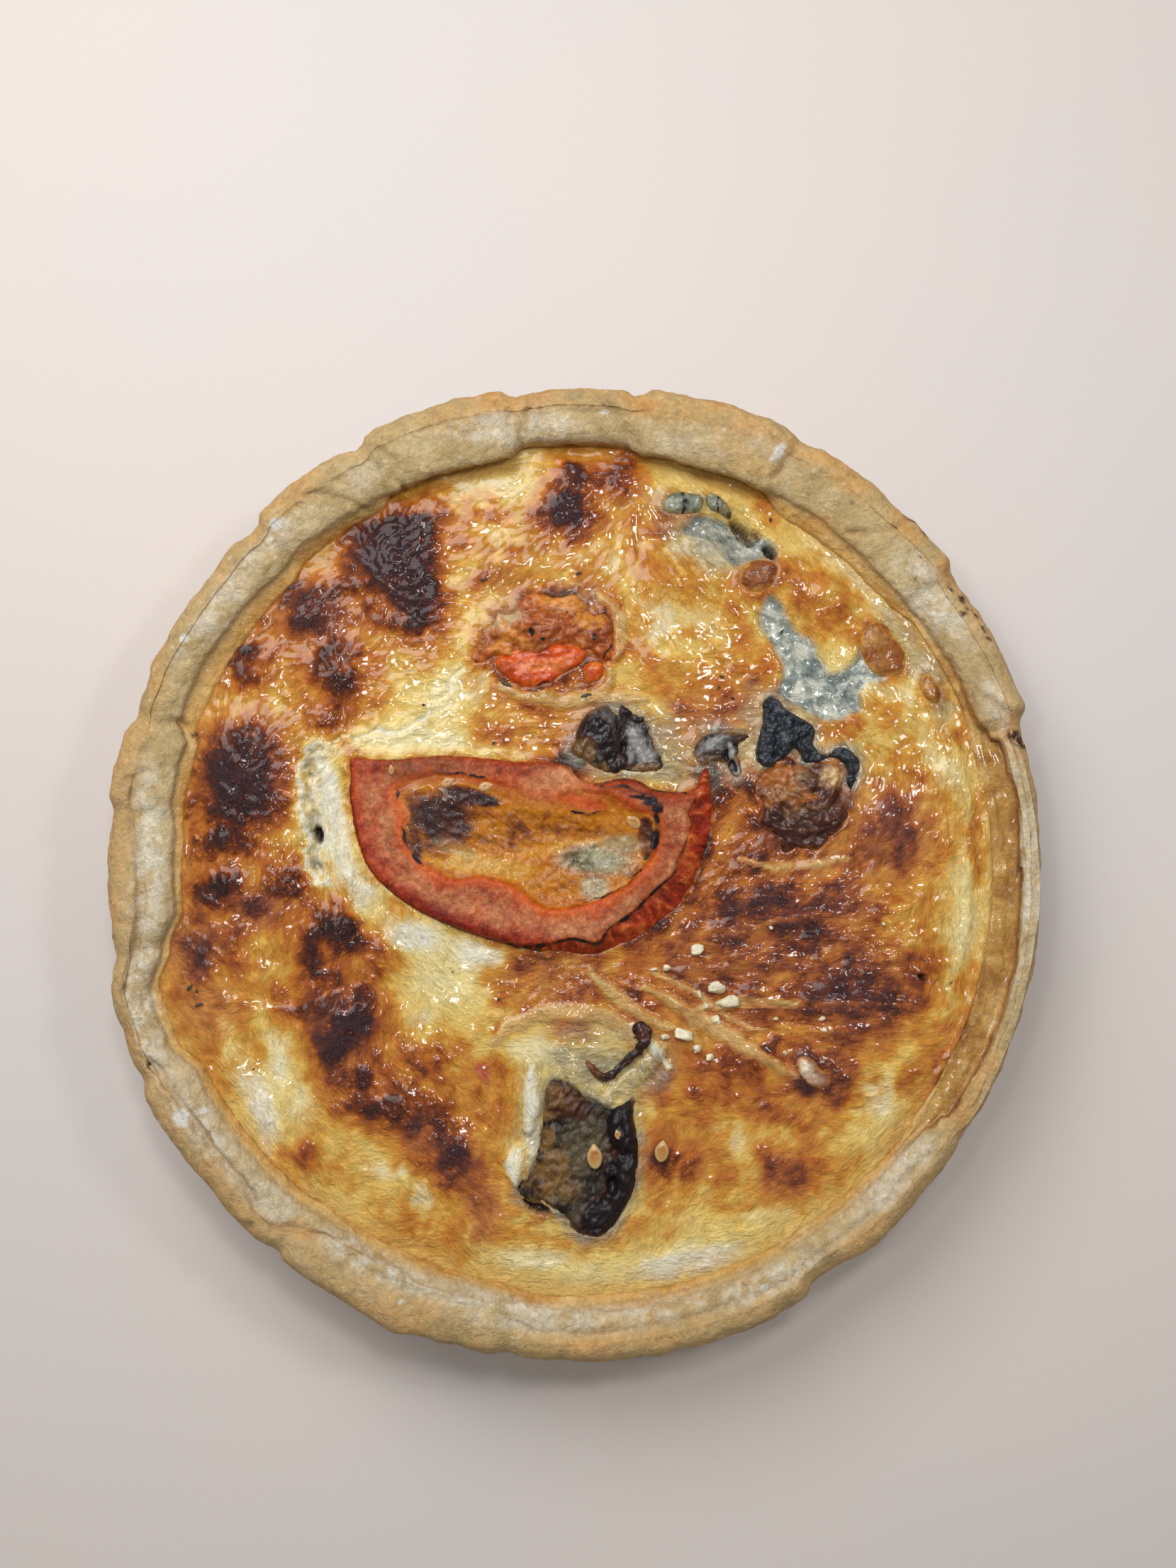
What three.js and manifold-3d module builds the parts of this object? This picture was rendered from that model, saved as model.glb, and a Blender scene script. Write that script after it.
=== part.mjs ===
// A ratatouille quiche, about 175 mm across and 30 mm high: a shortcrust case whose rim is folded over by hand,
// baked egg custard that fills it to just under the rim, and roasted vegetables that lie half sunk in the custard.
// Lengths are in millimetres. Angles are in degrees, anticlockwise from +X as seen from above. +Z is up, and the
// origin is the middle of the flat base. The case, the custard and each piece of vegetable are one closed solid each.

import * as THREE from "three";
import { mergeVertices } from "three/addons/utils/BufferGeometryUtils.js";
import { SimplexNoise } from "three/addons/math/SimplexNoise.js";
import Module from "manifold-3d";

const wasm = await Module();
wasm.setup();

// Driving dimensions
const gap = 0.3; // clearance between pieces that touch
const seed = 7;
const base = { radius: 75, chamfer: 1.5, floor: 4 };
const wall = { steps: 120, kneeHeight: 9, kneeShare: 0.4, shoulderHeight: 17, shoulderInset: 3.2 };
const custard = { level: 23.3, dome: 1.0, edgeDrop: 1.2, edgeWidth: 5, reach: 78, cell: 5.0, sink: 1.2 };

// The rim is one strip of dough, folded over in short lengths. Each fold runs from its start angle to the next one's.
// outer, crease and inner are the radii of its outside, of the line where the turned-in layer lies on the outer one,
// and of its inner edge; foot is where the pastry meets the custard, and groove is the depth of the crease.
const rimFolds = [
  { start: 18, outer: 88.4, crease: 83.5, inner: 78.6, foot: 77.4, height: 26.6, groove: 0.6 },
  { start: 38, outer: 90.2, crease: 84.5, inner: 78.2, foot: 76.0, height: 28.0, groove: 0.3 },
  { start: 62, outer: 90.0, crease: 84.0, inner: 77.6, foot: 78.4, height: 29.4, groove: 0.1 },
  { start: 82, outer: 88.8, crease: 84.0, inner: 79.3, foot: 79.0, height: 27.8, groove: 0.5 },
  { start: 98, outer: 89.8, crease: 84.0, inner: 77.2, foot: 77.8, height: 29.0, groove: 0.2 },
  { start: 117, outer: 88.2, crease: 83.0, inner: 77.8, foot: 76.0, height: 28.4, groove: 0.4 },
  { start: 133, outer: 86.8, crease: 82.0, inner: 77.6, foot: 74.6, height: 27.4, groove: 0.6 },
  { start: 161, outer: 86.8, crease: 80.5, inner: 74.8, foot: 73.2, height: 27.6, groove: 0.9 },
  { start: 173, outer: 85.6, crease: 78.6, inner: 73.6, foot: 72.4, height: 27.2, groove: 1.4 },
  { start: 191, outer: 88.0, crease: 84.0, inner: 80.6, foot: 79.2, height: 26.6, groove: 1.4, blend: 5 },
  { start: 206, outer: 88.2, crease: 82.6, inner: 78.0, foot: 76.8, height: 27.4, groove: 1.3 },
  { start: 232, outer: 88.6, crease: 80.6, inner: 77.6, foot: 76.2, height: 28.0, groove: 1.0 },
  { start: 262, outer: 88.8, crease: 83.2, inner: 79.2, foot: 77.4, height: 27.2, groove: 1.2 },
  { start: 300, outer: 86.6, crease: 82.2, inner: 78.6, foot: 77.0, height: 26.6, groove: 0.8 },
  { start: 325, outer: 85.8, crease: 83.6, inner: 81.4, foot: 76.6, height: 25.6, groove: 0.1 },
];
const pleat = { blend: 2.6, nick: 1.6, nickIn: 0.7, nickDown: 1.2 }; // blend is the angle over which two folds meet
const doughWaves = { across: 0.45, up: 0.35, perTurn: 2.6 };

// Places where the custard has puffed up into a browned blister, and places where it has sunk or torn.
const blisters = [
  { x: -36, y: 56, across: 9, along: 8, up: 1.5 },
  { x: -50, y: 49, across: 6, along: 8, up: 1.0 },
  { x: -45, y: 36, across: 6, along: 8, up: 1.2 },
  { x: -58, y: 39, across: 6, along: 5, up: 0.7 },
  { x: -62, y: 19, across: 8, along: 10, up: 1.6 },
  { x: -62, y: -3, across: 9, along: 5, up: 0.8 },
  { x: -43, y: -12, across: 5, along: 7, up: 1.2 },
  { x: -44, y: -28, across: 6, along: 8, up: 1.1 },
  { x: -31, y: -44, across: 7, along: 5, up: 1.0 },
  { x: -21, y: -51, across: 6, along: 6, up: 1.0 },
  { x: -2, y: 68, across: 6, along: 6, up: 1.2 },
  { x: -12, y: 57, across: 9, along: 5, up: 0.9 },
  { x: 17, y: 53, across: 11, along: 6, up: 1.2 },
  { x: 17, y: 39, across: 7, along: 5, up: 0.8 },
  { x: 47, y: 50, across: 7, along: 8, up: 1.2 },
  { x: 57, y: 9, across: 6, along: 7, up: 0.9 },
  { x: 33, y: -6, across: 8, along: 5, up: 0.9 },
  { x: 52, y: -22, across: 9, along: 8, up: 0.8 },
  { x: 69, y: 17, across: 5, along: 9, up: 0.9 },
  { x: 38, y: -52, across: 10, along: 6, up: 0.7 },
  { x: -55, y: -43, across: 9, along: 12, up: 0.9 },
];
const hollows = [
  { x: 29, y: 63, across: 7, along: 3.5, turn: -40, down: 2.0 }, // torn skin beside the courgette
  { x: 44, y: 40, across: 11, along: 5, turn: -55, down: 1.3 }, // bare pale custard
  { x: -47.5, y: 9, across: 2.5, along: 12, turn: 8, down: 1.3 }, // crack to the left of the tomato
  { x: 61, y: 39, across: 10, along: 6, turn: -38, down: 1.8 }, // burst bubble that holds the squash
  { x: -7, y: 7, across: 20, along: 8, turn: 0, down: 0.7 }, // dip inside the tomato slice
];

const toRadians = THREE.MathUtils.degToRad;
const mix = THREE.MathUtils.lerp;
const smooth = THREE.MathUtils.smoothstep;

// A small generator of repeatable numbers from 0 to 1
function seededRandom(start) {
  let state = start;
  return () => {
    state = (state * 1664525 + 1013904223) % 4294967296;
    return state / 4294967296;
  };
}
const noise = new SimplexNoise({ random: seededRandom(seed) });

// Solid helpers
function solidFrom(geometry) {
  const bare = geometry.clone();
  bare.deleteAttribute("normal");
  bare.deleteAttribute("uv");
  const merged = mergeVertices(bare, 1e-3);
  const mesh = new wasm.Mesh({
    numProp: 3,
    vertProperties: new Float32Array(merged.attributes.position.array),
    triVerts: new Uint32Array(merged.index.array),
  });
  return new wasm.Manifold(mesh);
}

function geometryFrom(solid) {
  const mesh = solid.getMesh();
  const geometry = new THREE.BufferGeometry();
  geometry.setAttribute("position", new THREE.BufferAttribute(mesh.vertProperties, 3));
  geometry.setIndex(new THREE.BufferAttribute(mesh.triVerts, 1));
  return geometry.toNonIndexed();
}

// The solid of a geometry whose triangles may all face in
function faceOut(geometry) {
  const solid = solidFrom(geometry);
  if (solid.volume() > 0) return solid;
  const index = geometry.index.array;
  for (let i = 0; i < index.length; i += 3) [index[i], index[i + 1]] = [index[i + 1], index[i]];
  return solidFrom(geometry);
}

function moveVertices(geometry, move) {
  const position = geometry.attributes.position;
  const point = new THREE.Vector3();
  for (let i = 0; i < position.count; i++) {
    point.fromBufferAttribute(position, i);
    move(point, i);
    position.setXYZ(i, point.x, point.y, point.z);
  }
  return geometry;
}

// Case: its measures at any angle
function foldAt(degrees) {
  const turn = (degrees - rimFolds[0].start + 720) % 360;
  let index = rimFolds.length - 1;
  while ((rimFolds[index].start - rimFolds[0].start + 360) % 360 > turn) index -= 1;
  const here = rimFolds[index];
  const next = rimFolds[(index + 1) % rimFolds.length];
  const before = rimFolds[(index + rimFolds.length - 1) % rimFolds.length];
  const fromStart = turn - ((here.start - rimFolds[0].start + 360) % 360);
  const length = (next.start - here.start + 360) % 360;
  const toEnd = length - fromStart;
  const shares = [
    [before, 0.5 - 0.5 * smooth(fromStart, 0, here.blend ?? pleat.blend)],
    [next, 0.5 - 0.5 * smooth(toEnd, 0, next.blend ?? pleat.blend)],
  ];
  const measures = {};
  for (const name of ["outer", "crease", "inner", "foot", "height", "groove"]) {
    measures[name] = here[name];
    for (const [other, share] of shares) measures[name] += share * (other[name] - here[name]);
  }
  const nearest = Math.min(fromStart, toEnd);
  const nick = Math.exp(-((nearest / pleat.nick) ** 2));
  const belly = Math.sin((Math.PI * fromStart) / length);
  measures.outer += 0.5 * belly - pleat.nickIn * nick;
  measures.height += 0.4 * belly - pleat.nickDown * nick;
  return measures;
}

function rimAt(degrees) {
  const measures = foldAt(degrees);
  const u = Math.cos(toRadians(degrees)) * doughWaves.perTurn;
  const v = Math.sin(toRadians(degrees)) * doughWaves.perTurn;
  measures.outer += doughWaves.across * noise.noise(u, v);
  measures.inner += doughWaves.across * noise.noise(u + 9, v);
  measures.height += doughWaves.up * noise.noise(u, v + 9);
  return measures;
}

// The case's section at one angle, as [radius, height] from the middle of the underside round to the middle of the floor
function caseSection(degrees) {
  const { outer, crease, inner, foot, height, groove } = rimAt(degrees);
  const shoulder = outer - wall.shoulderInset;
  const knee = mix(base.radius, shoulder, wall.kneeShare);
  const level = custard.level;
  return [
    [0, 0],
    [base.radius - base.chamfer, 0],
    [base.radius, base.chamfer],
    [knee, wall.kneeHeight],
    [shoulder, wall.shoulderHeight],
    [outer - 0.7, height - 7.5],
    [outer, height - 4.8],
    [outer - 0.7, height - 2.2],
    [outer - 2.3, height - 0.5],
    [mix(outer - 3, crease, 0.4), height],
    [crease + 0.9, height - 0.5],
    [crease, height - 0.8 - groove],
    [crease - 1.0, height - 0.9],
    [mix(crease, inner, 0.6), height - 1.0],
    [inner + 0.5, height - 1.9],
    [inner, height - 3.2],
    [mix(inner, foot, 0.6), mix(height - 3.2, level, 0.7)],
    [foot, level - 0.9],
    [foot - 1.2, level - 7],
    [base.radius - 5, base.floor + 1.5],
    [base.radius - 7, base.floor],
    [0, base.floor],
  ];
}

// The room inside the case, less the clearance, and open above
function roomSection(degrees) {
  const { foot, inner } = rimAt(degrees);
  const level = custard.level;
  return [
    [0, base.floor + gap],
    [base.radius - 7 - gap, base.floor + gap],
    [foot - 1.2 - gap, level - 7],
    [foot - gap, level - 0.9],
    [Math.min(foot, inner) - gap, level],
    [Math.min(foot, inner) - gap, level + 9],
    [0, level + 9],
  ];
}

// A closed solid whose section changes with the angle
function turnedSolid(sectionAt, steps) {
  const start = sectionAt(0).map(([r, z]) => new THREE.Vector2(r, z));
  const geometry = new THREE.LatheGeometry(start, steps);
  const count = start.length;
  moveVertices(geometry, (point, i) => {
    const step = Math.floor(i / count) % steps;
    const degrees = (360 * step) / steps;
    const [radius, z] = sectionAt(degrees)[i % count];
    point.set(radius * Math.cos(toRadians(degrees)), radius * Math.sin(toRadians(degrees)), z);
  });
  return faceOut(geometry);
}

// Custard surface
function mound({ x, y, across, along, turn = 0 }, px, py) {
  const c = Math.cos(toRadians(turn));
  const s = Math.sin(toRadians(turn));
  const u = ((px - x) * c + (py - y) * s) / across;
  const v = (-(px - x) * s + (py - y) * c) / along;
  return Math.exp(-(u * u + v * v));
}

function custardHeight(x, y) {
  const radius = Math.hypot(x, y);
  const degrees = THREE.MathUtils.radToDeg(Math.atan2(y, x));
  const { foot } = rimAt((degrees + 360) % 360);
  let z = custard.level + custard.dome * (1 - (radius / custard.reach) ** 2);
  for (const blister of blisters) z += blister.up * mound(blister, x, y);
  for (const hollow of hollows) z -= hollow.down * mound(hollow, x, y);
  z += 0.35 * noise.noise(x / 14, y / 14) + 0.2 * noise.noise(x / 6, y / 6);
  const atEdge = smooth(radius, foot - custard.edgeWidth, foot - 0.8);
  return mix(z, custard.level - custard.edgeDrop, atEdge);
}

// The custard from its underside up to its surface, raised by lift, with no case round it
function custardSlab(lift) {
  const width = 2 * (custard.reach + 4);
  const cells = Math.round(width / custard.cell);
  const top = 1;
  const slab = new THREE.BoxGeometry(width, width, top, cells, cells, 1);
  return solidFrom(
    moveVertices(slab, (point) => {
      point.z = point.z > 0 ? custardHeight(point.x, point.y) + lift : -top;
    }),
  );
}

// Shapes that a vegetable piece is made from

// A lump or slice: an outline given by its radius at each angle round its middle, domed on top and rounded at the edge.
// With grow it is larger all round by that much, to cut a neighbour clear of it.
function slicePiece(form, grow = 0) {
  const { x, y, outlineAt, thick, dome = 0, tilt = 0, tiltTowards = 0, rough = 0, steps = 14, rings = 2 } = form;
  const half = thick / 2 + grow;
  const profile = [new THREE.Vector2(0, -half), new THREE.Vector2(0.8, -half), new THREE.Vector2(1, -0.2 * half)];
  profile.push(new THREE.Vector2(0.97, 0.5 * half));
  for (let ring = rings; ring >= 0; ring--) profile.push(new THREE.Vector2((0.86 * ring) / rings, half));
  const geometry = new THREE.LatheGeometry(profile, steps).rotateX(Math.PI / 2);
  const lean = Math.tan(toRadians(tilt));
  const lift = custardHeight(x, y) + thick / 2 - custard.sink;
  moveVertices(geometry, (point) => {
    const share = Math.hypot(point.x, point.y);
    const degrees = (THREE.MathUtils.radToDeg(Math.atan2(point.y, point.x)) + 360) % 360;
    const stretch = outlineAt(degrees) + grow;
    point.x *= stretch;
    point.y *= stretch;
    if (point.z > 0) point.z += dome * (1 - share * share);
    point.z += rough * noise.noise((x + point.x) / 4, (y + point.y) / 4);
    point.z += lean * (point.x * Math.cos(toRadians(tiltTowards)) + point.y * Math.sin(toRadians(tiltTowards)));
    point.set(x + point.x, y + point.y, lift + point.z);
  });
  return faceOut(geometry);
}

// A strip along a line of [x, y, half width, height of its middle above the custard], with rounded ends
function stripPiece({ line, thick, steps = 12, sides = 6, rough = 0 }, grow = 0) {
  const path = new THREE.CatmullRomCurve3(line.map(([x, y]) => new THREE.Vector3(x, y, 0)));
  const reach = 1;
  const geometry = new THREE.CapsuleGeometry(0.5, 2 * reach, 2, sides, steps);
  moveVertices(geometry, (point) => {
    const along = THREE.MathUtils.clamp((point.y + reach) / (2 * reach), 0, 1);
    const beyond = point.y - THREE.MathUtils.clamp(point.y, -reach, reach);
    const here = path.getPoint(along);
    const tangent = path.getTangent(along);
    const place = along * (line.length - 1);
    const before = Math.min(Math.floor(place), line.length - 2);
    const halfWidth = mix(line[before][2], line[before + 1][2], place - before) + grow;
    const height = mix(line[before][3], line[before + 1][3], place - before);
    const side = point.x * 2 * halfWidth;
    const x = here.x + tangent.y * side + tangent.x * beyond * 2 * halfWidth;
    const y = here.y - tangent.x * side + tangent.y * beyond * 2 * halfWidth;
    const wave = rough * noise.noise(x / 3, y / 3);
    point.set(x, y, custardHeight(here.x, here.y) + height + wave + point.z * (thick + 2 * grow));
  });
  return faceOut(geometry);
}

// A ring along a closed line of [x, y, half width, height], whose outer side slopes down and out by skirt
function ringPiece({ line, thick, steps, sides, skirtAt }) {
  const path = new THREE.CatmullRomCurve3(
    line.map(([x, y]) => new THREE.Vector3(x, y, 0)),
    true,
  );
  const geometry = new THREE.TorusGeometry(3, 1, sides, steps);
  moveVertices(geometry, (point) => {
    const round = (Math.atan2(point.y, point.x) / (2 * Math.PI) + 1) % 1;
    const out = Math.hypot(point.x, point.y) - 3;
    const here = path.getPoint(round);
    const tangent = path.getTangent(round);
    const place = round * line.length;
    const before = Math.floor(place) % line.length;
    const after = (before + 1) % line.length;
    const halfWidth = mix(line[before][2], line[after][2], place - Math.floor(place));
    const height = mix(line[before][3], line[after][3], place - Math.floor(place));
    const squared = Math.sign(point.z) * Math.min(1, Math.abs(point.z) * 1.25);
    const skirt = out > 0 && point.z <= 0.1 ? skirtAt(here.x, here.y) : 0;
    const side = out * halfWidth + skirt;
    const x = here.x + tangent.y * side;
    const y = here.y - tangent.x * side;
    point.set(x, y, custard.level + height + (squared * thick) / 2);
  });
  return faceOut(geometry);
}

// An outline that is an ellipse turned by some angle, with a few lobes and corners
function lobed({ across, along, turn = 0, lobes = 3, depth = 0.06, phase = 0 }) {
  return (degrees) => {
    const a = toRadians(degrees - turn);
    const ellipse = (across * along) / Math.hypot(along * Math.cos(a), across * Math.sin(a));
    return ellipse * (1 + depth * Math.cos(lobes * toRadians(degrees) + phase));
  };
}

// Tomato: half a slice, cut across its middle, whose flesh rings a hollow full of custard
const tomatoRing = [
  // the cut edge, from its left end to the right
  [-37.0, 16.6, 4.6, 1.4],
  [-28.5, 18.9, 2.2, 1.5],
  [-19, 18.6, 2.2, 1.5],
  [-10, 17.4, 2.6, 1.6],
  [-3, 16.0, 3.2, 1.7],
  [5, 14.4, 2.0, 1.9],
  [12, 13.6, 2.4, 2.1],
  [18.4, 12.4, 2.8, 2.4],
  // the round side, under its skin
  [18.4, 6.6, 2.8, 2.4],
  [15.4, -0.2, 2.7, 2.2],
  [10.8, -5.0, 2.6, 2.0],
  [5.2, -8.2, 2.8, 1.9],
  [-4.4, -10.6, 3.2, 1.7],
  [-14, -8.4, 4.6, 1.5],
  [-24.2, -5.4, 4.2, 1.4],
  [-32.6, 0.6, 4.4, 1.4],
  [-36.4, 8.4, 4.6, 1.4],
];
const tomatoHorn = [
  [21.2, 12.6, 1.6, 3.0],
  [22.8, 15.6, 1.0, 3.4],
  [23.8, 17.8, 0.6, 3.6],
];
function tomatoSlice() {
  const skinShows = (x, y) => 0.4 + 4.0 * smooth(x, -11, 9) * (1 - smooth(y, 8, 12));
  const ring = ringPiece({ line: tomatoRing.toReversed(), thick: 5, steps: 38, sides: 6, skirtAt: skinShows });
  return ring.add(stripPiece({ line: tomatoHorn, thick: 2.6, steps: 3, sides: 6 }));
}

// Roasted tomato piece: red flesh, with its browned skin folded back over it
const roastFlesh = {
  x: -7,
  y: 37.6,
  outlineAt: lobed({ across: 8.6, along: 4.4, turn: 4, lobes: 2, depth: 0.03 }),
  thick: 3,
  dome: 1.1,
  steps: 16,
};
const roastSkin = {
  x: -6.5,
  y: 45.6,
  outlineAt: lobed({ across: 12.6, along: 6.2, turn: 5, lobes: 3, depth: 0.1, phase: 1.2 }),
  thick: 3.6,
  dome: 1.6,
  tilt: -7,
  tiltTowards: 90,
  rough: 0.5,
  steps: 20,
};

// Aubergine: skin, flesh and slices
function aubergineFold() {
  const skinSide = slicePiece({
    x: 3.8,
    y: 25.6,
    outlineAt: lobed({ across: 6.4, along: 3.4, turn: 105, lobes: 3, depth: 0.05 }),
    thick: 3.2,
    dome: 1.5,
    rough: 0.5,
  });
  const fleshSide = slicePiece({
    x: 10.6,
    y: 25,
    outlineAt: lobed({ across: 5.8, along: 3.4, turn: 118, lobes: 3, depth: 0.08 }),
    thick: 3,
    dome: 0.6,
    rough: 0.5,
  });
  const joint = slicePiece({ x: 7.2, y: 21.6, outlineAt: () => 3.2, thick: 3, steps: 10, rings: 1 });
  return skinSide.add(fleshSide).add(joint);
}
function aubergineShard() {
  return slicePiece({
    x: 28,
    y: 23.2,
    outlineAt: lobed({ across: 4.2, along: 2.2, turn: -38, lobes: 3, depth: 0.14 }),
    thick: 2.6,
    dome: 0.8,
    rough: 0.4,
    steps: 12,
  });
}
function aubergineSkin(grow = 0) {
  const broad = [
    [35.8, 31, 1.6, 1.2],
    [36.6, 27.4, 3.4, 1.1],
    [36.8, 23.8, 3.2, 0.9],
    [36.2, 21.2, 1.4, 0.8],
  ];
  const tail = [
    [37.6, 27.6, 2.2, 1.2],
    [42.4, 23.8, 2.2, 1.3],
    [47, 21.4, 1.3, 1.2],
    [50.6, 21.6, 1.5, 1.1],
    [51.8, 18.2, 1.7, 1.0],
    [51.4, 15, 0.8, 0.8],
  ];
  const form = { thick: 3, sides: 6, rough: 0.5 };
  const broadPart = stripPiece({ ...form, line: broad, steps: 5 }, grow);
  return broadPart.add(stripPiece({ ...form, line: tail, steps: 10 }, grow));
}
const aubergineSeed = [5, -50];
function aubergineSlice() {
  const corners = [
    [-8, 11],
    [42, 15.5],
    [62, 13.6],
    [90, 11.8],
    [125, 14],
    [160, 9.8],
    [195, 10],
    [218, 13.6],
    [240, 12.2],
    [272, 13.6],
    [290, 14],
    [318, 11.4],
    [352, 11],
  ];
  const outlineAt = (degrees) => {
    const turned = degrees > 352 ? degrees - 360 : degrees;
    const next = corners.findIndex(([angle]) => angle > turned);
    const [a0, r0] = corners[next - 1];
    const [a1, r1] = corners[next];
    return mix(r0, r1, (turned - a0) / (a1 - a0));
  };
  const slice = slicePiece({ x: 1.5, y: -52.5, outlineAt, thick: 4, dome: 1.0, rough: 0.5, steps: 22, rings: 3 });
  const [x, y] = aubergineSeed;
  return slice.add(grainAt(x, y, custardHeight(x, y) + 3.4, 0.4));
}
function aubergineCurl() {
  return stripPiece({
    line: [
      [12.2, -30.6, 1.2, 1.0],
      [12.0, -32.6, 1.0, 1.3],
      [9.2, -35.0, 0.8, 1.2],
      [6.2, -37.4, 0.9, 1.0],
      [2.6, -34.8, 0.6, 0.8],
    ],
    thick: 2.2,
    steps: 8,
    sides: 5,
  });
}

// Onion: a browned wedge with its layers showing, and a small piece near the edge
function onionWedge() {
  return slicePiece({
    x: 43.6,
    y: 12.4,
    outlineAt: lobed({ across: 9.4, along: 8.2, turn: 60, lobes: 3, depth: 0.06, phase: 2 }),
    thick: 4.4,
    dome: 2.2,
    rough: 0.4,
    steps: 16,
    rings: 2,
  });
}
function onionBit() {
  return slicePiece({
    x: 43.4,
    y: -37.2,
    outlineAt: lobed({ across: 3.8, along: 2.9, turn: 125, lobes: 2, depth: 0.05 }),
    thick: 3.4,
    dome: 1.1,
    steps: 12,
  });
}

// Squash cubes, a piece of pepper and two courgette ends
const smallPieces = [
  { name: "squash_cube", x: 57.4, y: 40.6, across: 4.8, along: 5.4, turn: 25, thick: 5, dome: 1.0, colour: 0xc06a22 },
  { name: "squash_cube_small", x: 65.8, y: 33.2, across: 2.2, along: 3.2, turn: 35, thick: 3.4, dome: 0.6, colour: 0xd09a3c },
  { name: "pepper_bit", x: 33.8, y: 54.8, across: 4.4, along: 3.6, turn: 40, thick: 3.6, dome: 1.1, colour: 0xb4601e },
  { name: "courgette_end_1", x: 19.8, y: 68, across: 3.9, along: 2.9, turn: 20, thick: 2.8, dome: 0.5, colour: 0x7f8a76 },
  { name: "courgette_end_2", x: 26.6, y: 68.8, across: 2.9, along: 2.5, turn: -20, thick: 2.6, dome: 0.5, colour: 0x9aa07c },
];

// Strands of melted cheese, cheese crumbs and seeds, which are baked into the custard
const strands = [
  [
    [3.5, -19.5, 1.4, 0.2],
    [9, -23.5, 1.7, 0.3],
    [14.5, -27.6, 1.9, 0.4],
    [21.6, -31.4, 1.5, 0.4],
  ],
  [
    [14.5, -23, 1.2, 0.2],
    [23, -29, 2.0, 0.4],
    [31, -33.2, 2.2, 0.5],
    [36.6, -36, 1.3, 0.3],
  ],
  [
    [-15.5, -30, 1.3, 0.2],
    [-8, -26, 2.0, 0.4],
    [0, -24.6, 2.0, 0.5],
    [8.6, -26.4, 1.2, 0.3],
  ],
  [
    [24, -25.4, 1.6, 0.6],
    [31, -24, 1.7, 0.6],
    [40, -24.6, 1.2, 0.3],
  ],
];
const grain = { across: 1.3, high: 1.2, sides: 5, bands: 4, stretch: 1.6 };
const crumbPlaces = [
  [22, -14.6],
  [16.6, -18],
  [26, -21.6],
  [23.8, -25],
  [27.8, -24.4],
  [19.4, -30.4],
  [22.6, -33.8],
  [25.4, -36],
  [16.8, -50.4],
  [-16.8, -36],
  [-22.4, 13.6],
  [-15.4, 12.6],
];

function grainAt(x, y, z, turn) {
  const geometry = new THREE.SphereGeometry(1, grain.sides, grain.bands);
  geometry.rotateX(Math.PI / 2).scale(grain.across * grain.stretch, grain.across, grain.high);
  return solidFrom(geometry.rotateZ(turn).translate(x, y, z));
}

function custardBody() {
  let body = custardSlab(0).intersect(insideCase);
  for (const line of strands) {
    body = body.add(stripPiece({ line, thick: 1.6, steps: 7, sides: 5 }));
  }
  const random = seededRandom(seed);
  for (const [x, y] of crumbPlaces) {
    body = body.add(grainAt(x, y, custardHeight(x, y) + 0.4, Math.PI * random()));
  }
  return body;
}

// Assembly: each piece that lies on the custard is cut to its surface, less the clearance
const quiche = new THREE.Group();

function addPiece(name, solid, colour, roughness) {
  const material = new THREE.MeshStandardMaterial({ color: colour, roughness, metalness: 0 });
  const mesh = new THREE.Mesh(geometryFrom(solid), material);
  mesh.name = name;
  quiche.add(mesh);
}

const underCustard = custardSlab(gap);
const insideCase = turnedSolid(roomSection, wall.steps);
function layOnCustard(name, solid, colour, roughness, ...neighbours) {
  let piece = solid.subtract(underCustard).intersect(insideCase);
  for (const neighbour of neighbours) piece = piece.subtract(neighbour);
  const parts = piece.decompose().sort((a, b) => b.volume() - a.volume());
  addPiece(name, parts[0], colour, roughness);
}

addPiece("pastry_case", turnedSolid(caseSection, wall.steps), 0xd9be90, 0.75);
addPiece("custard", custardBody(), 0xe2a93c, 0.35);
layOnCustard("tomato_slice", tomatoSlice(), 0xc4552c, 0.4);
layOnCustard("roast_tomato_flesh", slicePiece(roastFlesh), 0xd24a20, 0.4);
layOnCustard("roast_tomato_skin", slicePiece(roastSkin), 0xb8702e, 0.45, slicePiece(roastFlesh, gap));
layOnCustard("aubergine_fold", aubergineFold(), 0x4a4550, 0.45);
layOnCustard("aubergine_shard", aubergineShard(), 0x3a3c44, 0.45);
layOnCustard("aubergine_skin", aubergineSkin(), 0x1f2226, 0.4);
layOnCustard("onion_wedge", onionWedge(), 0x9a5228, 0.35, aubergineSkin(gap));
layOnCustard("aubergine_slice", aubergineSlice(), 0x5a534c, 0.45);
layOnCustard("aubergine_curl", aubergineCurl(), 0x2a1a16, 0.4);
layOnCustard("onion_bit", onionBit(), 0xc9a07a, 0.4);
for (const { name, across, along, turn, colour, ...form } of smallPieces) {
  const outlineAt = lobed({ across, along, turn, lobes: 4, depth: 0.05 });
  layOnCustard(name, slicePiece({ ...form, outlineAt, rough: 0.3, steps: 12 }), colour, 0.4);
}

export default quiche;
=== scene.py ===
import math

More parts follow.
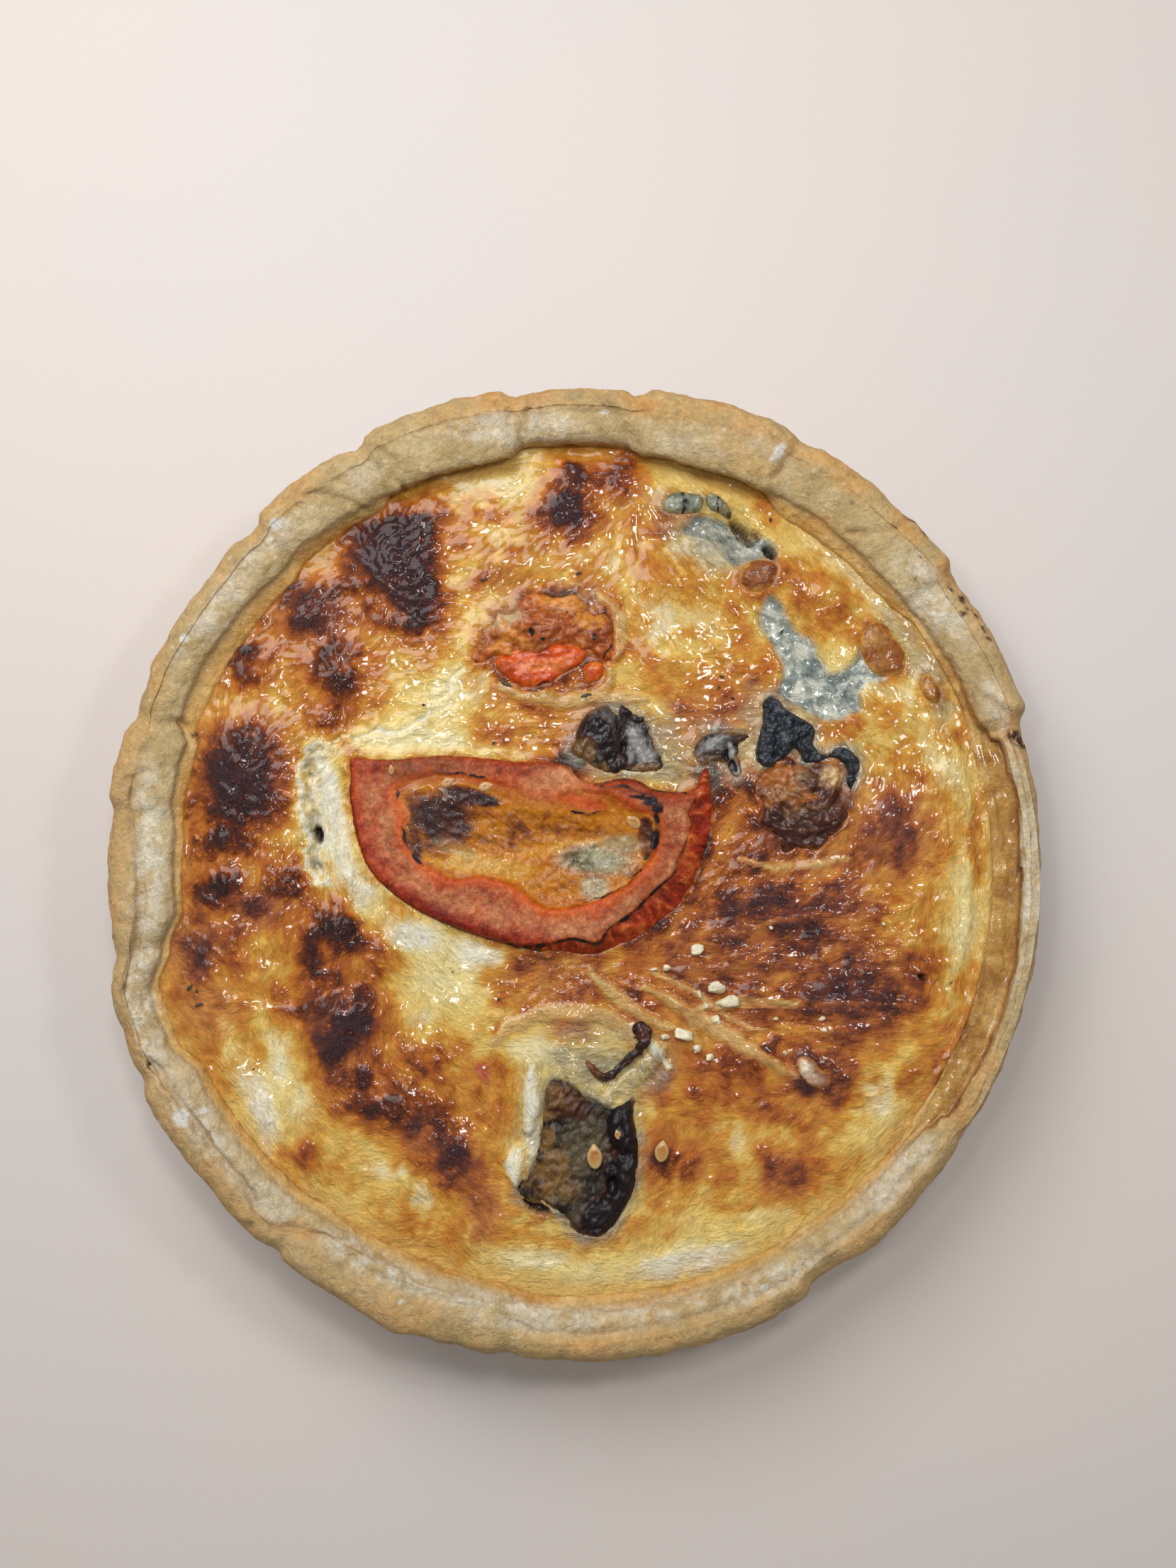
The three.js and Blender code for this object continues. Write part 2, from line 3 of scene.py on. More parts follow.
import bpy
import numpy as np
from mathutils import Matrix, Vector


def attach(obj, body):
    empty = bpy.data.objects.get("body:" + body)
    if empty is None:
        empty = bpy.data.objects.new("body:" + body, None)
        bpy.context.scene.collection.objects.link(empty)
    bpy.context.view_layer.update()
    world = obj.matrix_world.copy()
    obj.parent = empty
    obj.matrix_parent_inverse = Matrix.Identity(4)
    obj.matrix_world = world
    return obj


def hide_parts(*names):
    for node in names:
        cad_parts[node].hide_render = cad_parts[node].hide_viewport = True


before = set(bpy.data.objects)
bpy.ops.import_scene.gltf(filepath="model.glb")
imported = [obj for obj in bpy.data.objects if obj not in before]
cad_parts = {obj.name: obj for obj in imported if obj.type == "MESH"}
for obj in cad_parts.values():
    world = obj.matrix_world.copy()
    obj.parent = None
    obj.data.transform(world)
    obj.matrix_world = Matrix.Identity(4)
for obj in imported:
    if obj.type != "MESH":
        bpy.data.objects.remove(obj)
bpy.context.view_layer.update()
print("quiche: frame loaded")

# All places and sizes below are millimetres in the part's own frame. Meshes are written in metres.
metre = 0.001


# Shapes: noise, lines and soft spots
noiseTable = np.random.default_rng(11).permutation(256)
noiseSlopes = np.random.default_rng(12).normal(size=(256, 3))
noiseSlopes /= np.linalg.norm(noiseSlopes, axis=1)[:, None]


def mix(a, b, share):
    return a + (b - a) * share


def smooth(value, low, high):
    share = np.clip((value - low) / (high - low), 0, 1)
    return share * share * (3 - 2 * share)


def perlin(x, y, z):
    x, y, z = np.broadcast_arrays(*(np.asarray(v, float) for v in (x, y, z)))
    cells = [np.floor(v).astype(int) for v in (x, y, z)]
    parts = [v - c for v, c in zip((x, y, z), cells)]
    fades = [p * p * p * (p * (p * 6 - 15) + 10) for p in parts]
    total = np.zeros(x.shape)
    for i in (0, 1):
        for j in (0, 1):
            for k in (0, 1):
                entry = noiseTable[(cells[0] + i) & 255]
                entry = noiseTable[(entry + cells[1] + j) & 255]
                slope = noiseSlopes[noiseTable[(entry + cells[2] + k) & 255]]
                weight = np.ones(x.shape)
                for corner, fade in zip((i, j, k), fades):
                    weight = weight * (fade if corner else 1 - fade)
                reach = sum(slope[..., n] * (parts[n] - corner) for n, corner in enumerate((i, j, k)))
                total += weight * reach
    return total * 1.6


def cloud(x, y, size, octaves=3, layer=0.0, z=0.0):  # soft lumps about size across, from -1 to 1
    total = 0
    for octave in range(octaves):
        scale = 2**octave / size
        moved = x * scale + 7.1 * octave, y * scale - 3.7 * octave, z * scale + layer
        total = total + perlin(*moved) / 2**octave
    return total


def ridges(x, y, size, octaves=3, layer=0.0, z=0.0):  # narrow crests, from 0 to about 1
    total, weight = 0, 0
    for octave in range(octaves):
        scale = 2**octave / size
        crest = 1 - np.abs(perlin(x * scale + 5.3 * octave, y * scale + 9.1 * octave, z * scale + layer)) * 2
        total = total + np.clip(crest, 0, 1) ** 2 / 1.7**octave
        weight += 1 / 1.7**octave
    return total / weight


def lineReach(x, y, points):  # distance to a line of points, its share along, the nearest place
    points = np.asarray(points, float)
    steps = np.linalg.norm(np.diff(points, axis=0), axis=1)
    starts = np.concatenate([[0], np.cumsum(steps)])
    best, along = np.full(np.shape(x), 1e9), np.zeros(np.shape(x))
    nearX, nearY = np.zeros(np.shape(x)), np.zeros(np.shape(x))
    for a, b, start, length in zip(points[:-1], points[1:], starts, steps):
        run = b - a
        share = np.clip(((x - a[0]) * run[0] + (y - a[1]) * run[1]) / max(length**2, 1e-9), 0, 1)
        px, py = a[0] + share * run[0], a[1] + share * run[1]
        reach = np.hypot(x - px, y - py)
        closer = reach < best
        best = np.where(closer, reach, best)
        along = np.where(closer, (start + share * length) / starts[-1], along)
        nearX, nearY = np.where(closer, px, nearX), np.where(closer, py, nearY)
    return best, along, nearX, nearY


def smoothLine(points, each=6, closed=False):  # a curve through the points
    points = np.asarray(points, float)
    count = len(points)
    spans = count if closed else count - 1
    out = []
    for i in range(spans):
        if closed:
            p = [points[(i + k) % count] for k in (-1, 0, 1, 2)]
        else:
            p = [points[min(max(i + k, 0), count - 1)] for k in (-1, 0, 1, 2)]
        for step in range(each):
            t = step / each
            out.append(0.5 * (2 * p[1] + (p[2] - p[0]) * t + (2 * p[0] - 5 * p[1] + 4 * p[2] - p[3]) * t**2
                              + (3 * p[1] - p[0] - 3 * p[2] + p[3]) * t**3))
    if not closed:
        out.append(points[-1])
    return np.array(out)


def insideLoop(x, y, loop):
    inside = np.zeros(np.shape(x), bool)
    for (ax, ay), (bx, by) in zip(loop, np.roll(loop, -1, axis=0)):
        crosses = (ay > y) != (by > y)
        inside ^= crosses & (x < (bx - ax) * (y - ay) / (by - ay + 1e-12) + ax)
    return inside


def depthInside(x, y, loop):  # distance from a closed line, above 0 inside it
    closed = np.vstack([loop, loop[:1]])
    reach = lineReach(x, y, closed)[0]
    return np.where(insideLoop(x, y, loop), reach, -reach)


def turnBy(x, y, degrees):  # how far along and beside a line at this angle
    c, s = math.cos(math.radians(degrees)), math.sin(math.radians(degrees))
    return x * c + y * s, y * c - x * s


def warped(x, y, amount, size, octaves, first, second):  # places moved about by two layers of noise
    return x + amount * cloud(x, y, size, octaves, first), y + amount * cloud(x, y, size, octaves, second)


def spot(x, y, place, soft=0.45):  # 1 inside an oval, falling to 0 over its soft edge
    px, py, across, along, turn = place[:5]
    u, v = turnBy(x - px, y - py, turn)
    return 1 - smooth(np.hypot(u / across, v / along), 1 - soft, 1 + soft)


def anySpot(x, y, places, soft=0.45, sharp=4.0):  # soft union of ovals, each with its own strength last
    total = np.zeros(np.shape(x))
    for place in places:
        total = total + (place[5] * spot(x, y, place, soft)) ** sharp
    return np.minimum(total ** (1 / sharp), 1)


# Meshes
def readPlaces(piece):
    flat = np.zeros(len(piece.data.vertices) * 3)
    piece.data.vertices.foreach_get("co", flat)
    return flat.reshape(-1, 3)


def writePlaces(piece, places):
    piece.data.vertices.foreach_set("co", np.ascontiguousarray(places, float).ravel())
    piece.data.update()


def keepMask(piece, name, values):
    layer = piece.data.attributes.new(name, "FLOAT", "POINT")
    layer.data.foreach_set("value", np.broadcast_to(values, len(piece.data.vertices)).astype(np.float32))


def activate(*pieces):  # selects these objects and no others, the first of them active
    bpy.ops.object.select_all(action="DESELECT")
    for piece in pieces:
        piece.select_set(True)
    bpy.context.view_layer.objects.active = pieces[0]


def joinPieces(pieces):
    activate(*pieces)
    bpy.ops.object.join()
    return bpy.context.object


def tidyMesh(piece, threshold=1e-6):
    activate(piece)
    bpy.ops.object.mode_set(mode="EDIT")
    bpy.ops.mesh.select_all(action="SELECT")
    bpy.ops.mesh.remove_doubles(threshold=threshold)
    bpy.ops.mesh.normals_make_consistent(inside=False)
    bpy.ops.object.mode_set(mode="OBJECT")


def selectVertices(piece, chosen):  # leaves the piece in edit mode with these vertices selected
    bpy.context.view_layer.objects.active = piece
    piece.select_set(True)
    mesh = piece.data
    mesh.vertices.foreach_set("select", chosen)
    mesh.edges.foreach_set("select", np.zeros(len(mesh.edges), bool))
    mesh.polygons.foreach_set("select", np.zeros(len(mesh.polygons), bool))
    bpy.ops.object.mode_set(mode="EDIT")
    bpy.ops.mesh.select_mode(type="VERT")


def finishPiece(piece, name, material, slot, *nodes):
    piece.name = piece.data.name = name
    activate(piece)
    bpy.ops.object.shade_smooth()
    piece.data.materials.clear()
    piece.data.materials.append(material)
    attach(piece, "root")
    if nodes:
        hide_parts(*nodes)
    print("quiche:", name, "made,", len(piece.data.vertices), "vertices")


def trimmedSheet(low, high, cell, loop, snap=True):  # a flat grid cut out along a closed line
    counts = [max(int(round((high[i] - low[i]) / cell)), 2) for i in (0, 1)]
    bpy.ops.mesh.primitive_grid_add(x_subdivisions=counts[0], y_subdivisions=counts[1], size=2)
    piece = bpy.context.object
    places = readPlaces(piece)
    for i in (0, 1):
        places[:, i] = mix(low[i], high[i], (places[:, i] + 1) / 2)
    places[:, 2] = 0
    writePlaces(piece, places * metre)
    depth = depthInside(places[:, 0], places[:, 1], loop)
    selectVertices(piece, depth < -0.15 * cell if snap else depth < 0)
    bpy.ops.mesh.delete(type="VERT")
    bpy.ops.object.mode_set(mode="OBJECT")
    if snap:  # the ragged edge is moved onto the line
        places = readPlaces(piece) / metre
        edge = edgeVertices(piece)
        closed = np.vstack([loop, loop[:1]])
        _, _, nearX, nearY = lineReach(places[edge, 0], places[edge, 1], closed)
        places[edge, 0], places[edge, 1] = nearX, nearY
        writePlaces(piece, places * metre)
    return piece


def edgeVertices(piece):  # numbers of the vertices on an open edge
    mesh = piece.data
    loops = np.zeros(len(mesh.loops), int)
    mesh.loops.foreach_get("edge_index", loops)
    uses = np.bincount(loops, minlength=len(mesh.edges))
    ends = np.zeros(len(mesh.edges) * 2, int)
    mesh.edges.foreach_get("vertices", ends)
    return np.unique(ends.reshape(-1, 2)[uses == 1])


def closeBelow(piece, steps):  # draws the open edge down in steps of (inwards share, height) and closes it
    for share, drop in steps:
        chosen = np.zeros(len(piece.data.vertices), bool)
        chosen[edgeVertices(piece)] = True
        selectVertices(piece, chosen)
        bpy.ops.mesh.extrude_region_move()
        bpy.ops.object.mode_set(mode="OBJECT")
        places = readPlaces(piece)
        edge = edgeVertices(piece)
        middle = places[edge, :2].mean(axis=0)
        places[edge, :2] = mix(places[edge, :2], middle, share)
        places[edge, 2] += drop * metre
        writePlaces(piece, places)
    chosen = np.zeros(len(piece.data.vertices), bool)
    edge = edgeVertices(piece)
    chosen[edge] = True
    places = readPlaces(piece)
    places[edge, 2] = places[edge, 2].min()
    writePlaces(piece, places)
    selectVertices(piece, chosen)
    bpy.ops.mesh.edge_face_add()
    bpy.ops.object.mode_set(mode="OBJECT")


# Materials
def paint(red, green, blue):
    values = np.array([red, green, blue]) / 255
    linear = np.where(values <= 0.04045, values / 12.92, ((values + 0.055) / 1.055) ** 2.4)
    return (*[float(v) for v in linear], 1.0)


class Value:  # what comes out of a node, so that node maths can be written as sums
    def __init__(self, socket):
        self.socket = socket

    def __add__(self, other):
        return calculate("ADD", self, other)

    def __sub__(self, other):
        return calculate("SUBTRACT", self, other)

    def __rsub__(self, other):
        return calculate("SUBTRACT", other, self)

    def __mul__(self, other):
        return calculate("MULTIPLY", self, other)


def treeOf(*values):  # the node tree of the first value that comes out of a node
    return next(value.socket.id_data for value in values if isinstance(value, Value))


def feed(socket, value):  # links a node's value to an input, or sets the input to a plain one
    if isinstance(value, Value):
        value.socket.id_data.links.new(value.socket, socket)
    else:
        socket.default_value = value


def addNode(tree, kind, inputs, output=0, **settings):
    node = tree.nodes.new("ShaderNode" + kind)
    for name, value in settings.items():
        setattr(node, name, value)
    for name, value in inputs.items():
        feed(node.inputs[name], value)
    return Value(node.outputs[output])


def calculate(operation, a, b):
    return addNode(treeOf(a, b), "Math", {0: a, 1: b}, operation=operation)


def clamped(value):  # the last sum kept within 0 and 1
    value.socket.node.use_clamp = True
    return value


def blendColour(share, a, b):
    return addNode(treeOf(share, a, b), "Mix", {0: share, 6: a, 7: b}, 2, data_type="RGBA")


def brighten(colour, share):
    return addNode(treeOf(colour), "VectorMath", {0: colour, "Scale": share}, operation="SCALE")


def ramp(value, stops):  # stops are (place, red, green, blue)
    colour = addNode(treeOf(value), "ValToRGB", {0: value})
    elements = colour.socket.node.color_ramp.elements
    while len(elements) < len(stops):
        elements.new(0.5)
    for element, (place, *shade) in zip(elements, stops):
        element.position = place
        element.color = paint(*shade)
    return colour


def noiseValue(vector, scale, detail=4.0, rough=0.55, distortion=0.0, kind="FBM"):
    inputs = {
        "Vector": vector, "Scale": scale, "Detail": detail, "Roughness": rough, "Distortion": distortion,
    }
    return addNode(treeOf(vector), "TexNoise", inputs, noise_type=kind)


def remap(value, low, high, toLow=0.0, toHigh=1.0, kind="SMOOTHSTEP"):
    inputs = {"Value": value, "From Min": low, "From Max": high, "To Min": toLow, "To Max": toHigh}
    return addNode(treeOf(value), "MapRange", inputs, interpolation_type=kind)


def maskValue(tree, name):
    return addNode(tree, "Attribute", {}, "Fac", attribute_name=name)


def newGroup(name, inputs, outputs):
    tree = bpy.data.node_groups.new(name, "ShaderNodeTree")
    for label, kind, default in inputs:
        socket = tree.interface.new_socket(name=label, in_out="INPUT", socket_type="NodeSocket" + kind)
        if default is not None:
            socket.default_value = default
    for label, kind in outputs:
        tree.interface.new_socket(name=label, in_out="OUTPUT", socket_type="NodeSocket" + kind)
    start, end = tree.nodes.new("NodeGroupInput"), tree.nodes.new("NodeGroupOutput")
    return tree, {socket.name: Value(socket) for socket in start.outputs}, end.inputs


def useGroup(group, **inputs):
    first = addNode(treeOf(*inputs.values()), "Group", inputs, node_tree=group)
    return {socket.name: Value(socket) for socket in first.socket.node.outputs}


def newMaterial(name, rough, coat=0.0, coatRough=0.1, specular=0.5):
    material = bpy.data.materials.new(name)
    material.use_nodes = True
    tree = material.node_tree
    shader = tree.nodes["Principled BSDF"]
    shader.inputs["Roughness"].default_value = rough
    shader.inputs["Coat Weight"].default_value = coat
    shader.inputs["Coat Roughness"].default_value = coatRough
    shader.inputs["Specular IOR Level"].default_value = specular
    place = addNode(tree, "TexCoord", {}, "Object")
    return material, tree, shader, place


def finishMaterial(shader, colour, height, strength, distance, roughness=None):
    feed(shader.inputs["Base Color"], colour)
    if roughness:
        feed(shader.inputs["Roughness"], roughness)
    bump = addNode(treeOf(height), "Bump", {"Strength": strength, "Distance": distance, "Height": height})
    feed(shader.inputs["Normal"], bump)


# Shared effects
def makeBakedTint():  # from raw filling to golden, brown and burnt
    tree, start, end = newGroup("bakedTint", [
        ("Bake", "Float", 0.0), ("Rosy", "Float", 0.0), ("Raw", "Color", paint(238, 214, 140)),
    ], [("Colour", "Color")])
    warm = ramp(start["Bake"], [
        (0.0, 238, 208, 124), (0.16, 226, 180, 78), (0.32, 208, 142, 42), (0.48, 186, 102, 18),
        (0.6, 158, 76, 12), (0.74, 124, 52, 12), (0.88, 88, 36, 16), (1.0, 56, 26, 22),
    ])
    # the rosy ramp: reddish browning, its lilac a painted sheen
    rosy = ramp(start["Bake"], [
        (0.0, 232, 192, 128), (0.3, 202, 130, 58), (0.5, 162, 86, 38), (0.66, 128, 64, 42),
        (0.84, 94, 48, 42), (1.0, 64, 36, 42),
    ])
    browned = blendColour(start["Rosy"], warm, rosy)
    begun = remap(start["Bake"], 0.02, 0.3)
    feed(end["Colour"], blendColour(begun, start["Raw"], browned))
    return tree


def makeWetWrinkles():  # fine creased skin on something moist
    tree, start, end = newGroup("wetWrinkles", [
        ("Vector", "Vector", None), ("Scale", "Float", 400.0), ("Crease", "Float", 0.5),
    ], [("Height", "Float"), ("Crests", "Float")])
    folds = noiseValue(start["Vector"], start["Scale"], 3.0, 0.5, 1.4, "RIDGED_MULTIFRACTAL")
    crests = remap(folds, 0.2, 1.5)
    fine = noiseValue(start["Vector"], start["Scale"] * 3.1, 3.0, 0.6, 0.6)
    height = crests * start["Crease"] + fine * 0.35
    feed(end["Height"], height)
    feed(end["Crests"], crests)
    return tree


def makeSilkStreaks():  # fine parallel creases, pulled out along one direction
    tree, start, end = newGroup("silkStreaks", [
        ("Vector", "Vector", None), ("Turn", "Vector", None), ("Scale", "Float", 700.0),
    ], [("Streak", "Float")])
    turned = addNode(tree, "Mapping", {"Vector": start["Vector"], "Rotation": start["Turn"]})
    pulled = addNode(tree, "VectorMath", {0: turned, 1: (0.42, 1.0, 0.7)}, operation="MULTIPLY")
    feed(end["Streak"], noiseValue(pulled, start["Scale"], 5.0, 0.62, 1.3))
    return tree


def makePaintedCreaseShade():  # darker creases and lighter crests as painted shade and painted highlight, a fraction of a millimetre across
    tree, start, end = newGroup("paintedCreaseShade", [
        ("Colour", "Color", paint(200, 160, 90)), ("Vector", "Vector", None), ("Scale", "Float", 1200.0),
        ("Amount", "Float", 1.5),
    ], [("Colour", "Color")])
    grain = noiseValue(start["Vector"], start["Scale"], 4.0, 0.72, 0.8)
    share = (grain - 0.5) * start["Amount"] + 1.0
    feed(end["Colour"], brighten(start["Colour"], share))
    return tree


def makeSpeckle():  # small irregular grains, 0 to 1
    tree, start, end = newGroup("speckle", [
        ("Vector", "Vector", None), ("Scale", "Float", 900.0), ("Amount", "Float", 0.3),
    ], [("Mask", "Float")])
    grain = noiseValue(start["Vector"], start["Scale"], 5.0, 0.65, 0.3)
    low = 0.72 - start["Amount"] * 0.4
    feed(end["Mask"], remap(grain, low, low + 0.12))
    return tree


def makeCharAndShadeEdge():  # burnt edges, and painted shade along narrow steps, broken up by grain
    tree, start, end = newGroup("charAndShadeEdge", [
        ("Colour", "Color", paint(160, 90, 60)), ("Char", "Float", 0.0), ("Vector", "Vector", None),
    ], [("Colour", "Color")])
    broken = noiseValue(start["Vector"], 650, 4, 0.6)
    share = remap(start["Char"] + (broken - 0.5) * 0.5, 0.3, 0.7, kind="LINEAR")
    darkened = blendColour(0.5, start["Colour"], paint(84, 34, 20))
    edge = blendColour(remap(share, 0.0, 0.6), start["Colour"], darkened)
    feed(end["Colour"], blendColour(remap(share, 0.4, 1.0), edge, paint(26, 15, 18)))
    return tree


bakedTint = makeBakedTint()
wetWrinkles = makeWetWrinkles()
speckle = makeSpeckle()
silkStreaks = makeSilkStreaks()
paintedCreaseShade = makePaintedCreaseShade()
charAndShadeEdge = makeCharAndShadeEdge()
print("quiche: shared effects made")


# Pastry case
dough = {
    "floor": 4.0, "radius": 75.0, "knee": (0.4, 9.0), "shoulder": (3.2, 17.0), "level": 23.3,
    # steps round the case, points on each stretch of the section, and a point of it that stands well out
    "turns": 900, "samples": [2, 2, 5, 7, 7, 7, 7, 6, 6, 6, 4, 4, 7, 5, 4, 5, 4, 3, 3, 2, 1], "outermost": 60,
    # start angle, outer, crease, inner and foot radii, height, groove, blend angle
    "folds": [
        (18, 88.4, 83.5, 78.6, 77.4, 26.6, 0.6, 2.0), (38, 90.2, 84.5, 78.2, 76.0, 28.0, 0.3, 1.8),
        (62, 90.0, 84.0, 77.6, 78.4, 29.4, 0.1, 1.6), (82, 88.8, 84.0, 79.3, 79.0, 27.8, 0.5, 1.2),
        (98, 89.8, 84.0, 77.2, 77.8, 29.0, 0.2, 1.0), (117, 88.2, 83.0, 77.8, 76.0, 28.4, 0.4, 1.0),
        (133, 86.8, 82.0, 77.6, 74.6, 27.4, 0.1, 1.4), (161, 86.8, 80.5, 74.8, 73.2, 27.6, 0.4, 1.2),
        (173, 85.6, 78.6, 73.6, 72.4, 27.2, 1.4, 2.4), (191, 88.0, 84.0, 80.6, 79.2, 26.6, 1.4, 5.0),
        (206, 88.2, 82.6, 78.0, 76.8, 27.4, 1.3, 2.0), (232, 88.6, 80.6, 77.6, 76.2, 28.0, 1.0, 1.4),
        (262, 88.8, 83.2, 79.2, 77.4, 27.2, 1.2, 2.6), (300, 86.6, 82.2, 78.6, 77.0, 26.6, 0.8, 2.6),
        (325, 85.8, 83.6, 81.4, 76.6, 25.6, 0.1, 2.6),
    ],
    # lines where the dough has split or been pressed together: points, width, depth
    "cracks": [
        ([
            (-80.4, 16), (-80.9, 8.4), (-79.2, -1.5), (-79.5, -10.4), (-81.4, -19.2), (-82.5, -23.6),
        ], 0.8, 1.1),
        ([(-79.8, -33.5), (-77.5, -34.6), (-71.5, -41.8)], 0.6, 0.7),
        ([(-83.9, 14.2), (-80.4, 16.6), (-77.5, 17.8)], 0.8, 0.9),
        ([
            (-76.8, -35.1), (-73.2, -39.1), (-69.6, -44.4), (-64.8, -50.4), (-59.1, -57.2), (-56.7, -62.5),
            (-54, -64.4), (-50.8, -64.8),
        ], 0.8, 1.1),
        ([(-49, -64.6), (-43, -66.4), (-38.7, -67.8), (-27.9, -73.2), (-18, -76.6), (-6, -78)], 0.7, 0.9),
        ([(-54, 67.6), (-47, 68.7), (-42, 67.3), (-38, 66)], 0.6, 0.9),
        ([(-36.5, 77), (-33.2, 74.5), (-33.6, 72), (-32, 70.5)], 0.8, 1.0),
        ([(-70.8, 55.4), (-68, 53), (-70, 50)], 0.7, 0.9),
        ([(-53, 72.4), (-50.5, 71), (-51.5, 68.6)], 0.7, 0.8),
        ([(-9.6, 89), (-8.4, 86.2), (-9.6, 82.3), (-10.3, 77.5)], 0.7, 1.0),
        ([(3.6, 88.5), (7.5, 83.4), (11.5, 78)], 1.0, 1.0), ([(-6.4, 85.5), (-6.2, 79)], 0.7, 0.5),
        ([(-27.6, 85.5), (-25.4, 82.3), (-22.3, 80.1)], 0.7, 0.8),
        ([(-1.5, 86.5), (2, 82.5), (5, 79.6)], 0.7, 0.45),
        ([(36.5, 78.5), (38.5, 74.6), (36, 71.6)], 0.9, 1.0),
        ([(61.5, 66.5), (60.2, 63.4), (56, 61.8), (50, 61.6)], 0.8, 0.9),
        ([(84, 29), (79.5, 28.3), (75.5, 31.7)], 0.8, 0.9),
        ([(-76.6, 26.4), (-73.4, 27), (-70.4, 25.5)], 0.7, 0.9), ([(-60.3, -65.8), (-58, -63.4)], 0.9, 0.9),
        ([(66, -50), (60, -55), (52, -60), (44, -66)], 0.9, 0.35),
        ([(38, -70), (26, -75), (12, -78.4), (0, -79.6)], 0.8, 0.5),
        ([(30, 85), (37, 82.6), (38.6, 79)], 0.6, 0.6),
    ],
    # x, y, across, along, turn, strength
    "browned": [
        (-16, 85, 12, 4, 12, 0.5), (22, 84, 17, 4, -14, 0.7), (50, 74, 12, 4, -35, 0.7),
        (66, 60, 8, 4, -48, 0.6), (-58, 66, 12, 4, 42, 0.5), (-80, 30, 4, 14, -20, 0.5),
        (-85, 2, 3, 14, 0, 0.35), (-84, -24, 3, 14, 18, 0.3), (-66, -57, 12, 4, -50, 0.4),
        (-30, -82, 20, 3, -18, 0.35), (20, -80, 24, 4, 12, 0.5), (58, -62, 14, 3, 40, 0.3),
        (80, 24, 5, 5, 0, 0.7), (61, 64, 4, 3, -40, 0.8), (48, 62.5, 5, 2, -30, 0.8),
        (30, 75, 8, 3, -15, 0.5), (-50, -64.4, 5, 1.6, -10, 0.7), (72, -40, 5, 8, -35, 0.8),
        (40, 79, 4, 3, -30, 0.5),
    ],
    "floury": [
        (83, -22, 3, 16, -8, 0.8), (81, 22, 3, 9, 8, 0.6), (-68, 47, 4, 12, -42, 0.8),
        (-57, 61, 7, 3, 38, 0.8), (-12, 81, 12, 3, 3, 0.75), (32, 79, 5, 3, -20, 0.4),
        (66, 50, 4, 10, 38, 0.8), (79, 31, 4, 5, 20, 0.8), (-78, 2, 3, 16, 0, 0.9),
        (-79, -25, 3, 12, 12, 0.85), (-69, -46, 3, 12, 40, 0.7), (-55, -60, 5, 3, -40, 0.6),
        (-35, -71, 10, 3, -22, 0.7), (-10, -79.5, 14, 3, -5, 0.7), (12, -78, 10, 3, 5, 0.5),
        (58, -56, 10, 4, 45, 0.55), (36, -74, 10, 3, 24, 0.5), (-40, 72, 5, 3, 25, 0.5),
        (22, 78, 8, 3, -10, 0.4), (-83, -8, 3, 10, 0, 0.4), (84, -4, 2.6, 24, 0, 0.95),
        (79, -36, 3, 12, -26, 0.8),
    ],
    "scorched": [
        (81.6, 23.7, 2.6, 1.5, -25, 1.0), (71.2, 49.6, 0.7, 0.9, 0, 1), (69.1, 51.5, 0.4, 1.1, 30, 0.9),
        (71.2, 46.7, 0.7, 0.5, 0, 1), (72.4, 47.7, 0.7, 0.4, 20, 0.9), (73.9, 46.5, 0.9, 0.35, -40, 0.9),
        (75.1, 44, 0.4, 0.8, 30, 0.9), (76, 42.3, 0.7, 0.5, 0, 0.9), (62.4, 53, 0.5, 0.5, 0, 0.7),
        (63.1, 57.1, 0.35, 0.35, 0, 0.9), (50.9, 67.2, 0.5, 0.4, 0, 0.7), (62, 64.4, 1.1, 0.6, -30, 0.9),
        (64.4, 62, 0.5, 1.0, 30, 0.7), (-70.2, 24.6, 1.0, 0.6, 0, 0.9), (82.4, -24.6, 0.7, 0.3, 60, 0.8),
        (30.4, -74.6, 0.5, 0.4, 0, 0.6), (-55, 50, 0.3, 0.3, 0, 0.6),
    ],
    "flourDots": [
        (-71, -44.8, 1.3, 1.6, 10, 1), (-55, 63, 1.1, 1.0, 0, 1), (-71.5, 42, 0.9, 0.7, 0, 0.9),
        (37.4, 76.4, 0.9, 1.6, -30, 0.9), (36, 75, 0.6, 0.6, 0, 0.8), (-31, -77, 0.5, 0.4, 0, 0.9),
        (34, -75, 1.0, 0.6, 30, 0.8), (-67, -43.6, 0.8, 0.6, 0, 0.8), (5.4, 84, 0.8, 0.5, 0, 0.6),
    ],
}


def foldAt(degrees):  # the rim's measures at each angle
    folds = np.array(dough["folds"], float)
    starts = folds[:, 0]
    lengths = np.diff(np.append(starts, starts[0] + 360))
    turn = (degrees - starts[0]) % 360
    index = np.searchsorted(starts - starts[0], turn, side="right") - 1
    here, after, before = folds[index], folds[(index + 1) % len(folds)], folds[index - 1]
    fromStart = turn - (starts[index] - starts[0])
    toEnd = lengths[index] - fromStart
    shareAfter = 0.5 - 0.5 * smooth(toEnd, 0, after[:, 7])
    shareBefore = 0.5 - 0.5 * smooth(fromStart, 0, here[:, 7])
    values = here + (after - here) * shareAfter[:, None] + (before - here) * shareBefore[:, None]
    belly = np.sin(np.pi * fromStart / lengths[index])
    nick = np.exp(-((np.minimum(fromStart, toEnd) / 1.2) ** 2))
    return values, belly, nick


